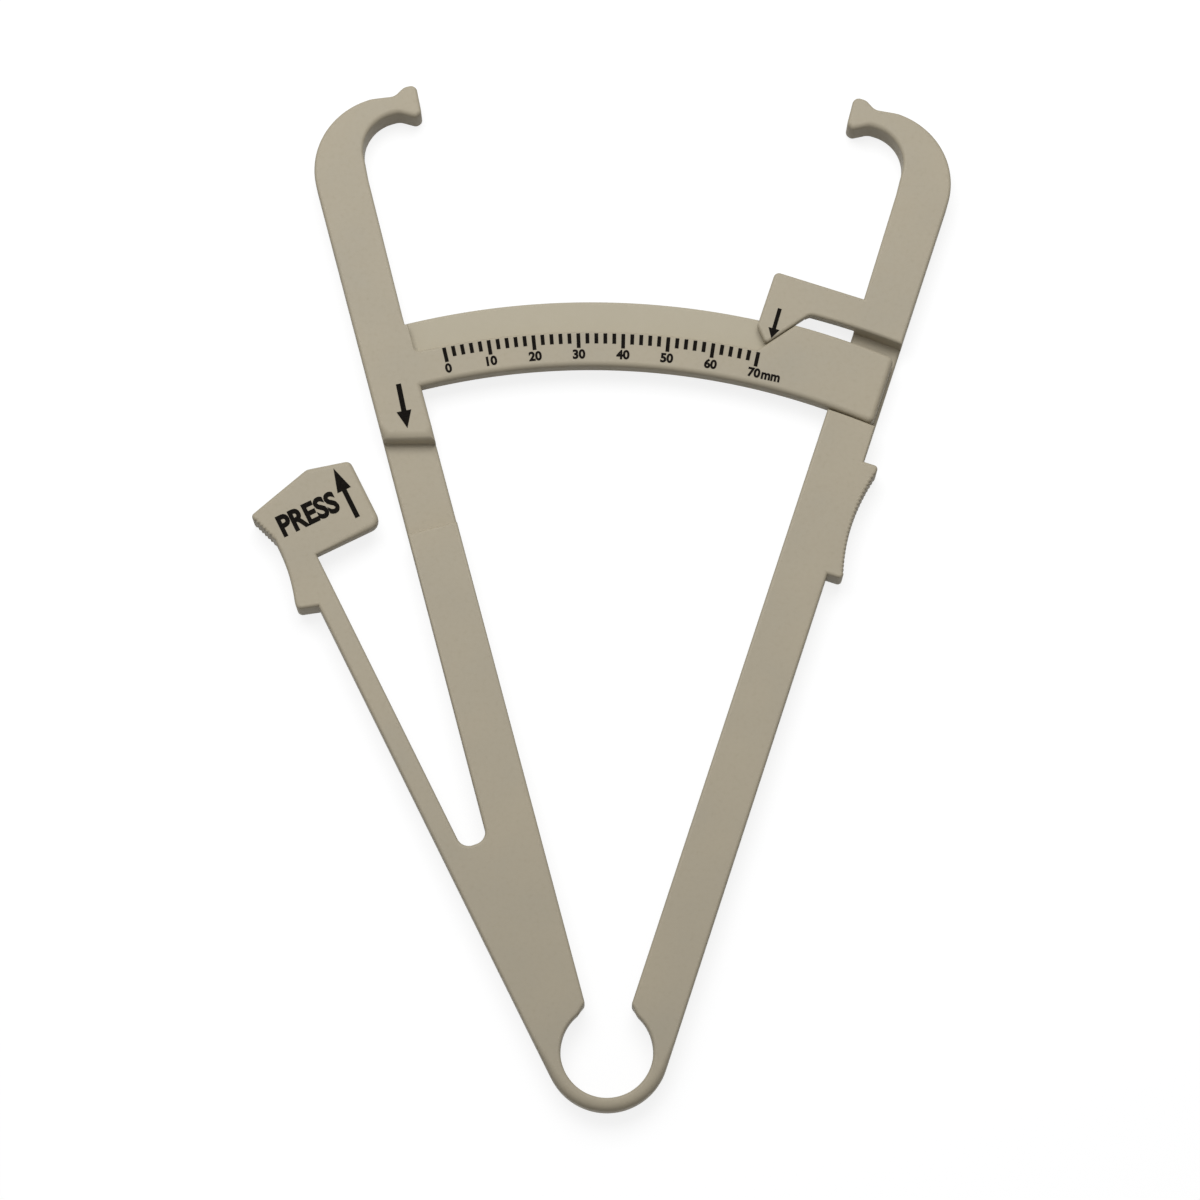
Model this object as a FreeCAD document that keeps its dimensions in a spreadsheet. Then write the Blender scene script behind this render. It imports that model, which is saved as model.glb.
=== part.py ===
import FreeCAD, Part
import math
import os
import Sketcher

# Skinfold caliper, moulded in one springy plastic and divided here at its working members.
# The tool lies on its back: +X to the right, +Y from the ring towards the jaws, +Z out of the front.
# The origin is the centre of the hinge ring's bore on the back plane. Lengths in mm, angles in degrees.
# Each arm has its own straight frame: "across" is square to the arm, "along" runs from the ring outwards.

SIZES = {
    # whole tool
    "thickness": 5.0,           # back plane to front face
    "half_angle": 16.6,         # lean of each arm from the middle line, jaws open
    # hinge ring
    "ring_bore": 7.3,           # radius of the hole
    "ring_wall": 2.1,           # thickness at the bottom, where the ring bends
    "ring_lift": 0.4,           # the outside's centre lies this far over the bore's
    "lip_rise": 0.9,            # bore to the end of each arm's inner edge
    "lip_angle": 23.4,          # where the lip meets the bore, from the arm's line
    # arms
    "arm_inner": 1.4,           # pivot to the inner edge, across the arm
    "pointer_foot_top": 14.0,   # along the pointer arm
    # slot between the scale arm and the press lever
    "slot_end": 38.1,           # pivot to the slot's end, along the slot's middle line
    "slot_round_share": 0.95,   # radius of the slot's two corners, as a share of half its width
    "root_rise": 2.9,           # slot's end to the lever's root
    "foot_rise": 3.9,           # slot's end to the top of the scale arm's foot
    # hooks and jaws
    "head_length": 31.9,        # arc's ledge to the hook's beginning
    "head_inset": 0.35,         # the inner edge has run in by this much at the hook's beginning
    "crook_inset": 0.6,         # and by this much where the inner curve begins
    "hook_stem": 1.0,           # straight beginning of the hook
    "hook_outer": 12.8,         # radius of the outer curve
    "hook_inner": 6.4,          # radius of the inner curve
    "hook_depth": 3.6,          # depth of the hook at its top
    "jaw_angle": 3.74,          # the jaw face's plane, from the arm's line through the pivot
    "jaw_rise": 0.65,           # hook's top to the jaw's top
    "jaw_height": 5.25,
    "flare_length": 1.5,        # jaw's face to its widest place
    "flare_dip": 0.3,           # the widest place reaches this much lower than the face
    "neck_length": 2.5,         # widest place to the neck
    "neck_dip": 0.5,            # the neck's top is this much lower than the hook's
    "jaw_corner": 0.6,          # radius of the face's two corners
    # scale arc
    "arc_ledge": 118.3,         # radius at which the recessed strip begins
    "band_width": 5.95,         # ledge to the arc's inner edge
    "strip_width": 5.75,        # ledge to the outer edge of strip and end block
    "arc_shift": 2.6,           # the arc's centre is this far left of the pivot
    "arc_clearance": 0.4,       # web to the arc's back face
    "strip_front": 3.1,         # height of the recessed strip
    "strip_inset": 0.5,         # scale arm to the strip's beginning
    "block_inset": 0.5,         # block's end to the pointer arm's outer edge
    # channel in the pointer arm, gaps taken with the jaws open
    "channel_floor": 1.6,       # height of the web behind the arc
    "channel_gap_in": 0.45,     # arc's inner edge to the beam
    "channel_gap_out": 2.55,    # arc's outer edge to the head
    # pointer tab
    "tip_angle": 5.62,          # reading tip, from the arm's line through the pivot
    "tip_clearance": 0.2,       # tip to the ledge, jaws shut
    "tab_height": 5.2,          # channel to the tab's top
    "tab_edge": 2.25,           # tip to the free edge
    "tab_point": 2.6,           # height of the point, tip to shoulder
    "tab_angle": 37.3,          # the edge that meets the block, from the arm's direction
    "tab_clearance": 0.3,       # strip to the tab's back face
    "tab_corner": 0.9,
    "tab_crook": 1.0,           # radius of the inside corner over the block
    "stop_gap": 0.35,           # tab to the block's slanted face, jaws open
    # press pad's track in the scale arm
    "step_drop": 12.5,          # arc's ledge to the track's upper end, at the arm's outer edge
    "step_angle": 14.6,         # slope of that end across the arm
    "track_length": 16.5,       # at the arm's outer edge
    "track_floor": 2.2,         # height of the recessed floor
    # press lever
    "lever_angle": 11.6,        # angle between the lever at rest and the scale arm
    "lever_width": 3.4,
    "pad_clearance": 0.3,       # track to the pad's back face
    "pad_gap_low": 1.5,         # pad to the track's lower end, pressed
    "pad_gap_high": 1.15,       # pad to the track's upper end, pressed
    "pad_setback": 1.25,        # pad to the arm's inner edge, pressed
    "pad_peak": 7.0,            # peak of the pad's top edge, from its edge on the arm's side
    "pad_angle": 15.1,          # slope of the top edge on the thumb's side
    "pad_corner_low": 1.8,
    "pad_corner_high": 1.1,
    "pad_corner_peak": 2.0,
    # rests for thumb and finger
    "thumb_tail": 7.9,          # pad's lower edge to the rest's lower end
    "thumb_reach": 3.5,         # lever's outer edge to the rest's ends
    "thumb_hollow": 1.85,       # depth of the hollow
    "finger_drop": 6.75,        # channel to the rest's upper end
    "finger_length": 20.0,
    "finger_reach": 2.5,
    "finger_hollow": 1.2,
    "rest_corner": 0.8,
    # print
    "ink": 0.05,                # height of the print
    "tick_margin": 0.4,         # ledge to the graduations' outer ends
    "tick_long": 2.5,
    "tick_short": 1.75,
    "tick_width": 0.62,
    "arrow_across": 3.0,        # points of the two press arrows, from the pad's edge on the arm's side
    "arm_arrow_offset": 0.35,   # the arm's print sits this far to the right of the pad's
    "arm_arrow_margin": 2.0,    # arrow's point to the track's upper end
    "arm_arrow_angle": 3.0,     # the arrow leans this much from its arm's line
    "arm_arrow_length": 7.7,
    "arm_arrow_head": 3.0,
    "arm_arrow_width": 2.45,
    "arm_arrow_shaft": 0.85,
    "pad_arrow_margin": 0.9,    # arrow's point to the pad's top edge
    "pad_arrow_length": 9.2,
    "pad_arrow_head": 4.1,
    "pad_arrow_width": 2.4,
    "pad_arrow_shaft": 0.8,
    "tab_arrow_margin": 1.15,   # arrow's point to the reading tip, along the arm
    "tab_arrow_inset": 0.6,     # and across it
    "tab_arrow_angle": 2.1,
    "tab_arrow_length": 5.3,
    "tab_arrow_head": 1.7,
    "tab_arrow_width": 1.9,
    "tab_arrow_shaft": 0.65,
}

SCALE_END = 70                  # last graduation, mm
TICK_STEP = 2                   # mm from one graduation to the next
LONG_STEP = 10                  # mm from one long graduation to the next


class Size:
    """A number together with the sheet formula that gives it, so that geometry keeps both."""

    def __init__(self, value, formula):
        self.value = float(value)
        self.formula = formula

    def __add__(self, other):
        other = as_size(other)
        return Size(self.value + other.value, f"({self.formula} + {other.formula})")

    def __sub__(self, other):
        other = as_size(other)
        return Size(self.value - other.value, f"({self.formula} - {other.formula})")

    def __mul__(self, other):
        other = as_size(other)
        return Size(self.value * other.value, f"({self.formula} * {other.formula})")

    def __truediv__(self, other):
        other = as_size(other)
        return Size(self.value / other.value, f"({self.formula} / {other.formula})")

    def __neg__(self):
        return Size(-self.value, f"(0 - {self.formula})")


def as_size(number):
    return number if isinstance(number, Size) else Size(number, repr(number))


def sine(angle):
    return Size(math.sin(math.radians(angle.value)), f"sin({angle.formula})")


def cosine(angle):
    return Size(math.cos(math.radians(angle.value)), f"cos({angle.formula})")


def tangent(angle):
    return Size(math.tan(math.radians(angle.value)), f"tan({angle.formula})")


def root(square):
    return Size(math.sqrt(square.value), f"sqrt({square.formula})")


def make_sheet(doc):
    """Put the driving sizes in a spreadsheet and return them by name."""
    sheet = doc.addObject("Spreadsheet::Sheet", "Sizes")
    named = {}
    for row, (alias, number) in enumerate(SIZES.items(), start=1):
        sheet.set(f"A{row}", alias)
        sheet.set(f"B{row}", str(number))
        sheet.setAlias(f"B{row}", alias)
        named[alias] = Size(number, f"Sizes.{alias}")
    doc.recompute()
    return named


doc = FreeCAD.newDocument("skinfold_caliper")
size = make_sheet(doc)
origin = (as_size(0), as_size(0))

# Lean of each frame from the middle line, positive to the left.
upright = as_size(0)
scale_lean = size["half_angle"]
pointer_lean = -size["half_angle"]
lever_lean = size["half_angle"] + size["lever_angle"]

# Both arms and the lever run out at a tangent to the ring's outside.
ring_outer = size["ring_bore"] + size["ring_wall"] + size["ring_lift"]
arm_outer = ring_outer - size["ring_lift"] * sine(scale_lean)
lever_outer = ring_outer - size["ring_lift"] * sine(lever_lean)
lever_inner = lever_outer - size["lever_width"]
lever_root = size["slot_end"] + size["root_rise"]
foot_top = size["slot_end"] + size["foot_rise"]
hook_start = size["arc_ledge"] + size["head_length"]
hook_top = hook_start + size["hook_stem"] + size["hook_outer"]

# The arc's centre is not quite the pivot, so its edges drift outwards as the pointer arm closes in.
arc_inner = size["arc_ledge"] - size["band_width"]
strip_outer = size["arc_ledge"] + size["strip_width"]
drift = size["arc_shift"] * sine(size["half_angle"])
channel_low = arc_inner - drift - size["channel_gap_in"]
channel_high = strip_outer - drift + size["channel_gap_out"]
tab_top = channel_high + size["tab_height"]
arc_back = size["channel_floor"] + size["arc_clearance"]
tab_back = size["strip_front"] + size["tab_clearance"]
pad_back = size["track_floor"] + size["pad_clearance"]
step_height = size["arc_ledge"] - size["step_drop"]
track_start = step_height - size["track_length"]


def seen_from(point, old_lean, new_lean):
    """The same point in another frame about the pivot."""
    across, along = point
    turn = old_lean - new_lean
    return (across * cosine(turn) - along * sine(turn), across * sine(turn) + along * cosine(turn))


def polar(radius, angle):
    """A point at an angle from the frame's own line, positive to the left."""
    return (-(radius * sine(angle)), radius * cosine(angle))


def on_circle(across, radius, centre=origin):
    """The point of a circle that lies this far across."""
    reach = across - centre[0]
    return (across, centre[1] + root(radius * radius - reach * reach))


def ray_to_circle(start, angle, radius, centre=origin):
    """Where a ray that leaves start at an angle to the right of the frame's line meets a circle."""
    across = start[0] - centre[0]
    along = start[1] - centre[1]
    toward = across * sine(angle) + along * cosine(angle)
    reach = root(toward * toward + radius * radius - across * across - along * along) - toward
    return (start[0] + reach * sine(angle), start[1] + reach * cosine(angle))


def arc_centre(lean):
    """The scale arc's centre in a frame that leans."""
    return seen_from((-size["arc_shift"], as_size(0)), upright, lean)


def new_body(label, lean):
    body = doc.addObject("PartDesign::Body", label)
    body.Label = label
    body.setExpression("Placement.Rotation.Angle", lean.formula)
    return body


def new_sketch(body, name, height):
    """A sketch on the body's own back plane, raised to a height."""
    sketch = body.newObject("Sketcher::SketchObject", name)
    plane = next(item for item in body.Origin.OriginFeatures if item.Role == "XY_Plane")
    sketch.AttachmentSupport = [(plane, "")]
    sketch.MapMode = "FlatFace"
    sketch.setExpression("AttachmentOffset.Base.z", height.formula)
    return sketch


def bind(sketch, kind, where, target):
    number = sketch.addConstraint(Sketcher.Constraint(kind, *where, target.value))
    sketch.setExpression(f"Constraints[{number}]", target.formula)


def arc_between(start, end, radius, turn):
    """The short arc from start to end; turn is 1 for counter-clockwise travel and -1 for clockwise."""
    chord = end - start
    half = chord.Length / 2
    side = FreeCAD.Vector(-chord.y, chord.x, 0).normalize()
    centre = start + chord * 0.5 + side * (turn * math.sqrt(radius * radius - half * half))
    first, last = (start, end) if turn > 0 else (end, start)
    angles = [math.atan2(point.y - centre.y, point.x - centre.x) for point in (first, last)]
    circle = Part.Circle(centre, FreeCAD.Vector(0, 0, 1), radius)
    return Part.ArcOfCircle(circle, angles[0], angles[1])


def draw_outline(sketch, corners, bends=None):
    """A closed outline through the corners. bends gives a radius and a turn to the edge after a corner."""
    bends = bends or {}
    spots = [FreeCAD.Vector(across.value, along.value, 0) for across, along in corners]
    count = len(spots)
    begins = []
    ends = []
    for number in range(count):
        start = spots[number]
        end = spots[(number + 1) % count]
        if number in bends:
            radius, turn = bends[number]
            sketch.addGeometry(arc_between(start, end, radius.value, turn), False)
        else:
            turn = 1
            sketch.addGeometry(Part.LineSegment(start, end), False)
        begins.append(1 if turn > 0 else 2)
        ends.append(2 if turn > 0 else 1)
    for number in range(count):
        following = (number + 1) % count
        joint = (number, ends[number], following, begins[following])
        sketch.addConstraint(Sketcher.Constraint("Coincident", *joint))
    for number, (across, along) in enumerate(corners):
        where = (-1, 1, number, begins[number])
        bind(sketch, "DistanceX", where, across)
        bind(sketch, "DistanceY", where, along)
    for number, (radius, turn) in bends.items():
        bind(sketch, "Radius", (number,), radius)


def add_plate(body, name, corners, low, high, bends=None):
    """A plate of the outline's shape between two heights."""
    sketch = new_sketch(body, name + "_outline", low)
    draw_outline(sketch, corners, bends)
    pad = body.newObject("PartDesign::Pad", name + "_plate")
    pad.Profile = sketch
    pad.setExpression("Length", (high - low).formula)
    doc.recompute()
    return pad


def round_corners(body, base, corners, radius):
    """Round the upright edges that stand at the given corners."""
    names = []
    for number, edge in enumerate(base.Shape.Edges, start=1):
        ends = [vertex.Point for vertex in edge.Vertexes]
        if len(ends) != 2 or abs(ends[0].z - ends[1].z) < 1e-6:
            continue
        for across, along in corners:
            spot = FreeCAD.Vector(across.value, along.value, 0)
            if all(math.hypot(end.x - spot.x, end.y - spot.y) < 1e-4 for end in ends):
                names.append(f"Edge{number}")
    fillet = body.newObject("PartDesign::Fillet", f"{base.Name}_round")
    fillet.Base = (base, names)
    fillet.setExpression("Radius", radius.formula)
    doc.recompute()
    return fillet


back = as_size(0)
front = size["thickness"]


def make_member(label, lean, corners, low=back, high=front, bends=None):
    """A member that is one flat plate, in the frame of its own arm."""
    body = new_body(label, lean)
    plate = add_plate(body, label, corners, low, high, bends)
    return body, plate


# --- hinge ring ---------------------------------------------------------------------------------

def ring_cut(lean, side):
    """The two ends of the cut between the ring and a foot: at the bore and at the outside."""
    across = cosine(lean) * side
    drop = sine(lean)
    at_bore = (size["ring_bore"] * across, -(size["ring_bore"] * drop))
    outside = (ring_outer * across, size["ring_lift"] - ring_outer * drop)
    return at_bore, outside


LEFT = -1
RIGHT = 1
bore_left, outside_left = ring_cut(lever_lean, LEFT)
bore_right, outside_right = ring_cut(scale_lean, RIGHT)


def make_hinge_ring():
    corners = [bore_left, bore_right, outside_right, outside_left]
    bends = {0: (size["ring_bore"], 1), 2: (ring_outer, -1)}
    make_member("hinge_ring", upright, corners, bends=bends)


# --- scale arm ----------------------------------------------------------------------------------

slot_lean = (lever_lean + scale_lean) / 2
slot_splay = size["lever_angle"] / 2
lip_height = size["ring_bore"] + size["lip_rise"]


def slot_corners():
    """The two corners of the slot's end and their radius, in the scale arm's frame."""
    left_along = (size["slot_end"] + lever_inner * sine(slot_splay)) / cosine(slot_splay)
    right_along = (size["slot_end"] - arm_outer * sine(slot_splay)) / cosine(slot_splay)
    left = seen_from((-lever_inner, left_along), lever_lean, scale_lean)
    right = (-arm_outer, right_along)
    width = seen_from(right, scale_lean, slot_lean)[0] - seen_from(left, scale_lean, slot_lean)[0]
    return left, right, width / 2 * size["slot_round_share"]


def make_scale_arm_foot():
    lip = (-size["arm_inner"], lip_height)
    lip_bore = polar(size["ring_bore"], size["lip_angle"])
    bore_end = seen_from(bore_left, upright, scale_lean)
    outside_end = seen_from(outside_left, upright, scale_lean)
    root_outer = seen_from((-lever_outer, lever_root), lever_lean, scale_lean)
    root_inner = seen_from((-lever_inner, lever_root), lever_lean, scale_lean)
    slot_left, slot_right, slot_corner = slot_corners()
    top_outer = (-arm_outer, foot_top)
    top_inner = (-size["arm_inner"], foot_top)
    corners = [lip, lip_bore, bore_end, outside_end, root_outer, root_inner]
    corners += [slot_left, slot_right, top_outer, top_inner]
    bends = {1: (size["ring_bore"], 1)}
    body, plate = make_member("scale_arm_foot", scale_lean, corners, bends=bends)
    round_corners(body, plate, [slot_left, slot_right], slot_corner)


def arm_stretch(low, high, side):
    """The four corners of a straight stretch of an arm."""
    outer = arm_outer * side
    inner = size["arm_inner"] * side
    return [(outer, low), (inner, low), (inner, high), (outer, high)]


def head_inner(side):
    """Where the head's inner edge arrives at the hook, a little inside the arm's own line."""
    return (size["arm_inner"] - size["head_inset"]) * side


step_slope = tangent(size["step_angle"])


def step_along(across):
    """Where the track's upper end lies, at a place across the scale arm."""
    return step_height - (across + arm_outer) * step_slope


def make_scale_arm():
    beam = arm_stretch(foot_top, track_start, LEFT)
    make_member("scale_arm_beam", scale_lean, beam)
    outer = -arm_outer
    inner = -size["arm_inner"]
    step_outer = (outer, step_along(outer))
    step_inner = (inner, step_along(inner))
    track = [(outer, track_start), (inner, track_start), step_inner, step_outer]
    make_member("pad_track", scale_lean, track, high=size["track_floor"])
    head = [step_outer, step_inner, on_circle(inner, strip_outer, arc_centre(scale_lean))]
    head += [(head_inner(LEFT), hook_start), (outer, hook_start)]
    make_member("scale_arm_head", scale_lean, head)


# --- hooks and jaws -----------------------------------------------------------------------------

inner_top = hook_top - size["hook_depth"]
jaw_top = hook_top + size["jaw_rise"]
jaw_bottom = jaw_top - size["jaw_height"]
# The fold is measured between the faces' lower edges, which lie this far from the pivot.
jaw_radius = jaw_bottom / cosine(size["jaw_angle"])
half_jaw = size["half_angle"] - size["jaw_angle"]


def face_across(along, side):
    """The jaw face lies in a plane through the pivot, so that both faces meet squarely."""
    return along * tangent(size["jaw_angle"]) * (-side)


def flare_across(side):
    return face_across(jaw_top, side) + size["flare_length"] * side


def neck_points(side):
    """The jaw's neck, top and bottom, in its arm's frame."""
    across = flare_across(side) + size["neck_length"] * side
    return (across, hook_top - size["neck_dip"]), (across, inner_top)


def make_hook(label, lean, side):
    """The hook runs up from the arm, turns over and ends at the jaw's neck."""
    outer = arm_outer * side
    crook = (size["arm_inner"] - size["crook_inset"]) * side
    neck_top, neck_bottom = neck_points(side)
    corners = [
        (outer, hook_start),
        (outer, hook_top - size["hook_outer"]),
        (outer - size["hook_outer"] * side, hook_top),
        neck_top,
        neck_bottom,
        (crook - size["hook_inner"] * side, inner_top),
        (crook, inner_top - size["hook_inner"]),
        (head_inner(side), hook_start),
    ]
    bends = {1: (size["hook_outer"], side), 5: (size["hook_inner"], -side)}
    make_member(label, lean, corners, bends=bends)


def make_jaw(label, lean, side):
    """The flared end that takes the fold."""
    neck_top, neck_bottom = neck_points(side)
    flare = flare_across(side)
    face_top = (face_across(jaw_top, side), jaw_top)
    face_bottom = (face_across(jaw_bottom, side), jaw_bottom)
    flare_bottom = (flare, jaw_bottom - size["flare_dip"])
    corners = [neck_top, (flare, jaw_top), face_top, face_bottom, flare_bottom, neck_bottom]
    body, plate = make_member(label, lean, corners)
    round_corners(body, plate, [face_top, face_bottom], size["jaw_corner"])


# --- scale arc ----------------------------------------------------------------------------------

# Jaws shut, the tip stands where the ledge has drifted furthest out, and still clears it.
pointer_angle = size["half_angle"] - size["tip_angle"]
shut_angle = half_jaw * 2 - pointer_angle
tip_radius = size["arc_ledge"] + size["arc_shift"] * sine(shut_angle) + size["tip_clearance"]
tip = polar(tip_radius, size["tip_angle"])


def stop_face():
    """The block's slanted face in the pointer arm's frame: its ends at the ledge and at the rim."""
    beside_tip = (tip[0] + size["stop_gap"] * cosine(size["tab_angle"]),
                  tip[1] - size["stop_gap"] * sine(size["tab_angle"]))
    centre = arc_centre(pointer_lean)
    at_ledge = ray_to_circle(beside_tip, size["tab_angle"], size["arc_ledge"], centre)
    at_rim = ray_to_circle(beside_tip, size["tab_angle"], strip_outer, centre)
    return at_ledge, at_rim


def run_inwards(point, centre, share):
    """A point moved towards a centre, to a share of its distance."""
    return (centre[0] + (point[0] - centre[0]) * share, centre[1] + (point[1] - centre[1]) * share)


stop_ledge, stop_rim = stop_face()
# The block's face runs on from the ledge towards the arc's centre, down to the arc's inner edge.
stop_low = run_inwards(stop_ledge, arc_centre(pointer_lean), arc_inner / size["arc_ledge"])


def make_scale_arc():
    centre = arc_centre(scale_lean)
    inner = -size["arm_inner"]
    low_left = on_circle(inner, arc_inner, centre)
    rim_left = on_circle(inner, strip_outer, centre)
    low_right = seen_from(stop_low, pointer_lean, scale_lean)
    ledge_right = seen_from(stop_ledge, pointer_lean, scale_lean)
    rim_right = seen_from(stop_rim, pointer_lean, scale_lean)
    strip_left = size["strip_inset"] - size["arm_inner"]
    ledge_left = on_circle(strip_left, size["arc_ledge"], centre)
    inset_rim = on_circle(strip_left, strip_outer, centre)
    body = new_body("scale_arc", scale_lean)
    whole = [low_left, low_right, ledge_right, rim_right, rim_left]
    bends = {0: (arc_inner, -1), 3: (strip_outer, 1)}
    add_plate(body, "arc_web", whole, arc_back, size["strip_front"], bends)
    proud = [low_left, low_right, ledge_right, ledge_left, inset_rim, rim_left]
    bends = {0: (arc_inner, -1), 2: (size["arc_ledge"], 1), 4: (strip_outer, 1)}
    add_plate(body, "arc_band", proud, size["strip_front"], front, bends)


def make_arc_end_block():
    centre = arc_centre(pointer_lean)
    end = arm_outer - size["block_inset"]
    low_end = on_circle(end, arc_inner, centre)
    rim_end = on_circle(end, strip_outer, centre)
    corners = [stop_low, low_end, rim_end, stop_rim, stop_ledge]
    bends = {0: (arc_inner, -1), 2: (strip_outer, 1)}
    make_member("arc_end_block", pointer_lean, corners, low=arc_back, bends=bends)


# --- pointer arm --------------------------------------------------------------------------------

def make_pointer_arm_foot():
    lip = (size["arm_inner"], lip_height)
    lip_bore = polar(size["ring_bore"], -size["lip_angle"])
    bore_end = seen_from(bore_right, upright, pointer_lean)
    outside_end = seen_from(outside_right, upright, pointer_lean)
    top_outer = (arm_outer, size["pointer_foot_top"])
    top_inner = (size["arm_inner"], size["pointer_foot_top"])
    corners = [lip, lip_bore, bore_end, outside_end, top_outer, top_inner]
    bends = {1: (size["ring_bore"], -1)}
    make_member("pointer_arm_foot", pointer_lean, corners, bends=bends)


def make_pointer_arm():
    inner = size["arm_inner"]
    low_inner = on_circle(inner, channel_low)
    low_outer = on_circle(arm_outer, channel_low)
    high_inner = on_circle(inner, channel_high)
    high_outer = on_circle(arm_outer, channel_high)
    beam_low = size["pointer_foot_top"]
    beam = [(inner, beam_low), (arm_outer, beam_low), low_outer, low_inner]
    make_member("pointer_arm_beam", pointer_lean, beam, bends={2: (channel_low, 1)})
    web = [low_inner, low_outer, high_outer, high_inner]
    bends = {0: (channel_low, -1), 2: (channel_high, 1)}
    make_member("arc_channel", pointer_lean, web, high=size["channel_floor"], bends=bends)
    head = [high_inner, high_outer, (arm_outer, hook_start), (head_inner(RIGHT), hook_start)]
    head.append((inner, tab_top))
    make_member("pointer_arm_head", pointer_lean, head, bends={0: (channel_high, -1)})


def make_pointer_tab():
    """A thin flag in front of the arc's recessed strip; its point reads the scale."""
    inner = size["arm_inner"]
    free = tip[0] - size["tab_edge"]
    crook = ray_to_circle(tip, size["tab_angle"], channel_high)
    corner = (free, tab_top)
    corners = [tip, crook, on_circle(inner, channel_high), (inner, tab_top), corner]
    corners.append((free, tip[1] + size["tab_point"]))
    bends = {1: (channel_high, -1)}
    body, plate = make_member("pointer_tab", pointer_lean, corners, low=tab_back, bends=bends)
    plate = round_corners(body, plate, [corner], size["tab_corner"])
    round_corners(body, plate, [crook], size["tab_crook"])


# --- rests for thumb and finger -----------------------------------------------------------------

def hollow_radius(low, high, hollow):
    """Radius of the arc that spans two ends and is hollowed between them."""
    half = (high - low) / 2
    return (half * half + hollow * hollow) / (hollow * 2)


def make_finger_rest():
    reach = arm_outer + size["finger_reach"]
    high_along = channel_low - size["finger_drop"]
    low_along = high_along - size["finger_length"]
    low = (reach, low_along)
    high = (reach, high_along)
    corners = [(arm_outer, low_along), low, high, (arm_outer, high_along)]
    radius = hollow_radius(low_along, high_along, size["finger_hollow"])
    bends = {1: (radius, -1)}
    body, plate = make_member("finger_rest", pointer_lean, corners, bends=bends)
    round_corners(body, plate, [low, high], size["rest_corner"])


# --- press lever --------------------------------------------------------------------------------

# Pressed, the lever lies parallel to the arm: a point of the lever then stands shifted in the arm's frame.
lever_pivot = (-lever_inner, lever_root)
pivot_on_arm = seen_from(lever_pivot, lever_lean, scale_lean)
shift_across = pivot_on_arm[0] - lever_pivot[0]
shift_along = pivot_on_arm[1] - lever_pivot[1]
pad_low = track_start + size["pad_gap_low"] - shift_along
pad_right = -size["arm_inner"] - size["pad_setback"] - shift_across


def pad_top(across):
    """The pad's top edge on the arm's side, parallel to the track's end once pressed."""
    pressed = step_along(across + shift_across) - size["pad_gap_high"] / cosine(size["step_angle"])
    return pressed - shift_along


peak_across = pad_right - size["pad_peak"]
pad_peak = (peak_across, pad_top(peak_across))


def pad_top_left(across):
    """The pad's top edge on the thumb's side."""
    return pad_peak[1] - (pad_peak[0] - across) * tangent(size["pad_angle"])


def make_lever_beam():
    low = lever_root
    corners = [(-lever_outer, low), (-lever_inner, low), (-lever_inner, pad_low), (-lever_outer, pad_low)]
    make_member("lever_beam", lever_lean, corners)


def make_press_pad():
    low_right = (pad_right, pad_low)
    high_right = (pad_right, pad_top(pad_right))
    high_left = (-lever_outer, pad_top_left(-lever_outer))
    corners = [(-lever_outer, pad_low), low_right, high_right, pad_peak, high_left]
    body, plate = make_member("press_pad", lever_lean, corners, low=pad_back)
    plate = round_corners(body, plate, [low_right], size["pad_corner_low"])
    plate = round_corners(body, plate, [high_right], size["pad_corner_high"])
    round_corners(body, plate, [pad_peak], size["pad_corner_peak"])


def make_thumb_rest():
    reach = -(lever_outer + size["thumb_reach"])
    low_along = pad_low - size["thumb_tail"]
    low = (reach, low_along)
    high = (reach, pad_top_left(reach))
    inner = -lever_outer
    corners = [(inner, low_along), (inner, pad_top_left(inner)), high, low]
    radius = hollow_radius(low_along, high[1], size["thumb_hollow"])
    body, plate = make_member("thumb_rest", lever_lean, corners, bends={2: (radius, -1)})
    round_corners(body, plate, [low], size["rest_corner"])


# --- print --------------------------------------------------------------------------------------

def make_arrow(label, lean, point, prefix, way, turn=upright):
    """An arrow whose point is given; way is 1 if it points away from the pivot, else -1."""
    length, head, width, shaft = [size[prefix + part] for part in ("_length", "_head", "_width", "_shaft")]
    half_width = width / 2
    half_shaft = shaft / 2
    plan = [(as_size(0), as_size(0)), (half_width, head), (half_shaft, head), (half_shaft, length)]
    plan += [(-half_shaft, length), (-half_shaft, head), (-half_width, head)]
    turned = [seen_from((across, behind * (-way)), turn, upright) for across, behind in plan]
    corners = [(point[0] + across, point[1] + along) for across, along in turned]
    make_member(label, lean, corners, low=front, high=front + size["ink"])


def make_arrows():
    # The two press arrows stand point to point once the lever is pressed.
    pad_line = pad_right - size["arrow_across"]
    arm_line = pad_line + shift_across + size["arm_arrow_offset"]
    arm_point = (arm_line, step_along(arm_line) + size["arm_arrow_margin"])
    make_arrow("arm_arrow", scale_lean, arm_point, "arm_arrow", -1, -size["arm_arrow_angle"])
    pad_point = (pad_line, pad_top(pad_line) - size["pad_arrow_margin"])
    make_arrow("press_arrow", lever_lean, pad_point, "pad_arrow", 1)
    tab_point = (tip[0] + size["tab_arrow_inset"], tip[1] + size["tab_arrow_margin"])
    make_arrow("pointer_arrow", pointer_lean, tab_point, "tab_arrow", -1, size["tab_arrow_angle"])


def tick_end(angle):
    """How far from the pivot a graduation ends: at a margin inside the ledge, whose centre is shifted."""
    radius = SIZES["arc_ledge"] - SIZES["tick_margin"]
    aside = SIZES["arc_shift"] * math.sin(math.radians(angle))
    return math.sqrt(aside * aside + radius * radius - SIZES["arc_shift"] ** 2) - aside


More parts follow.
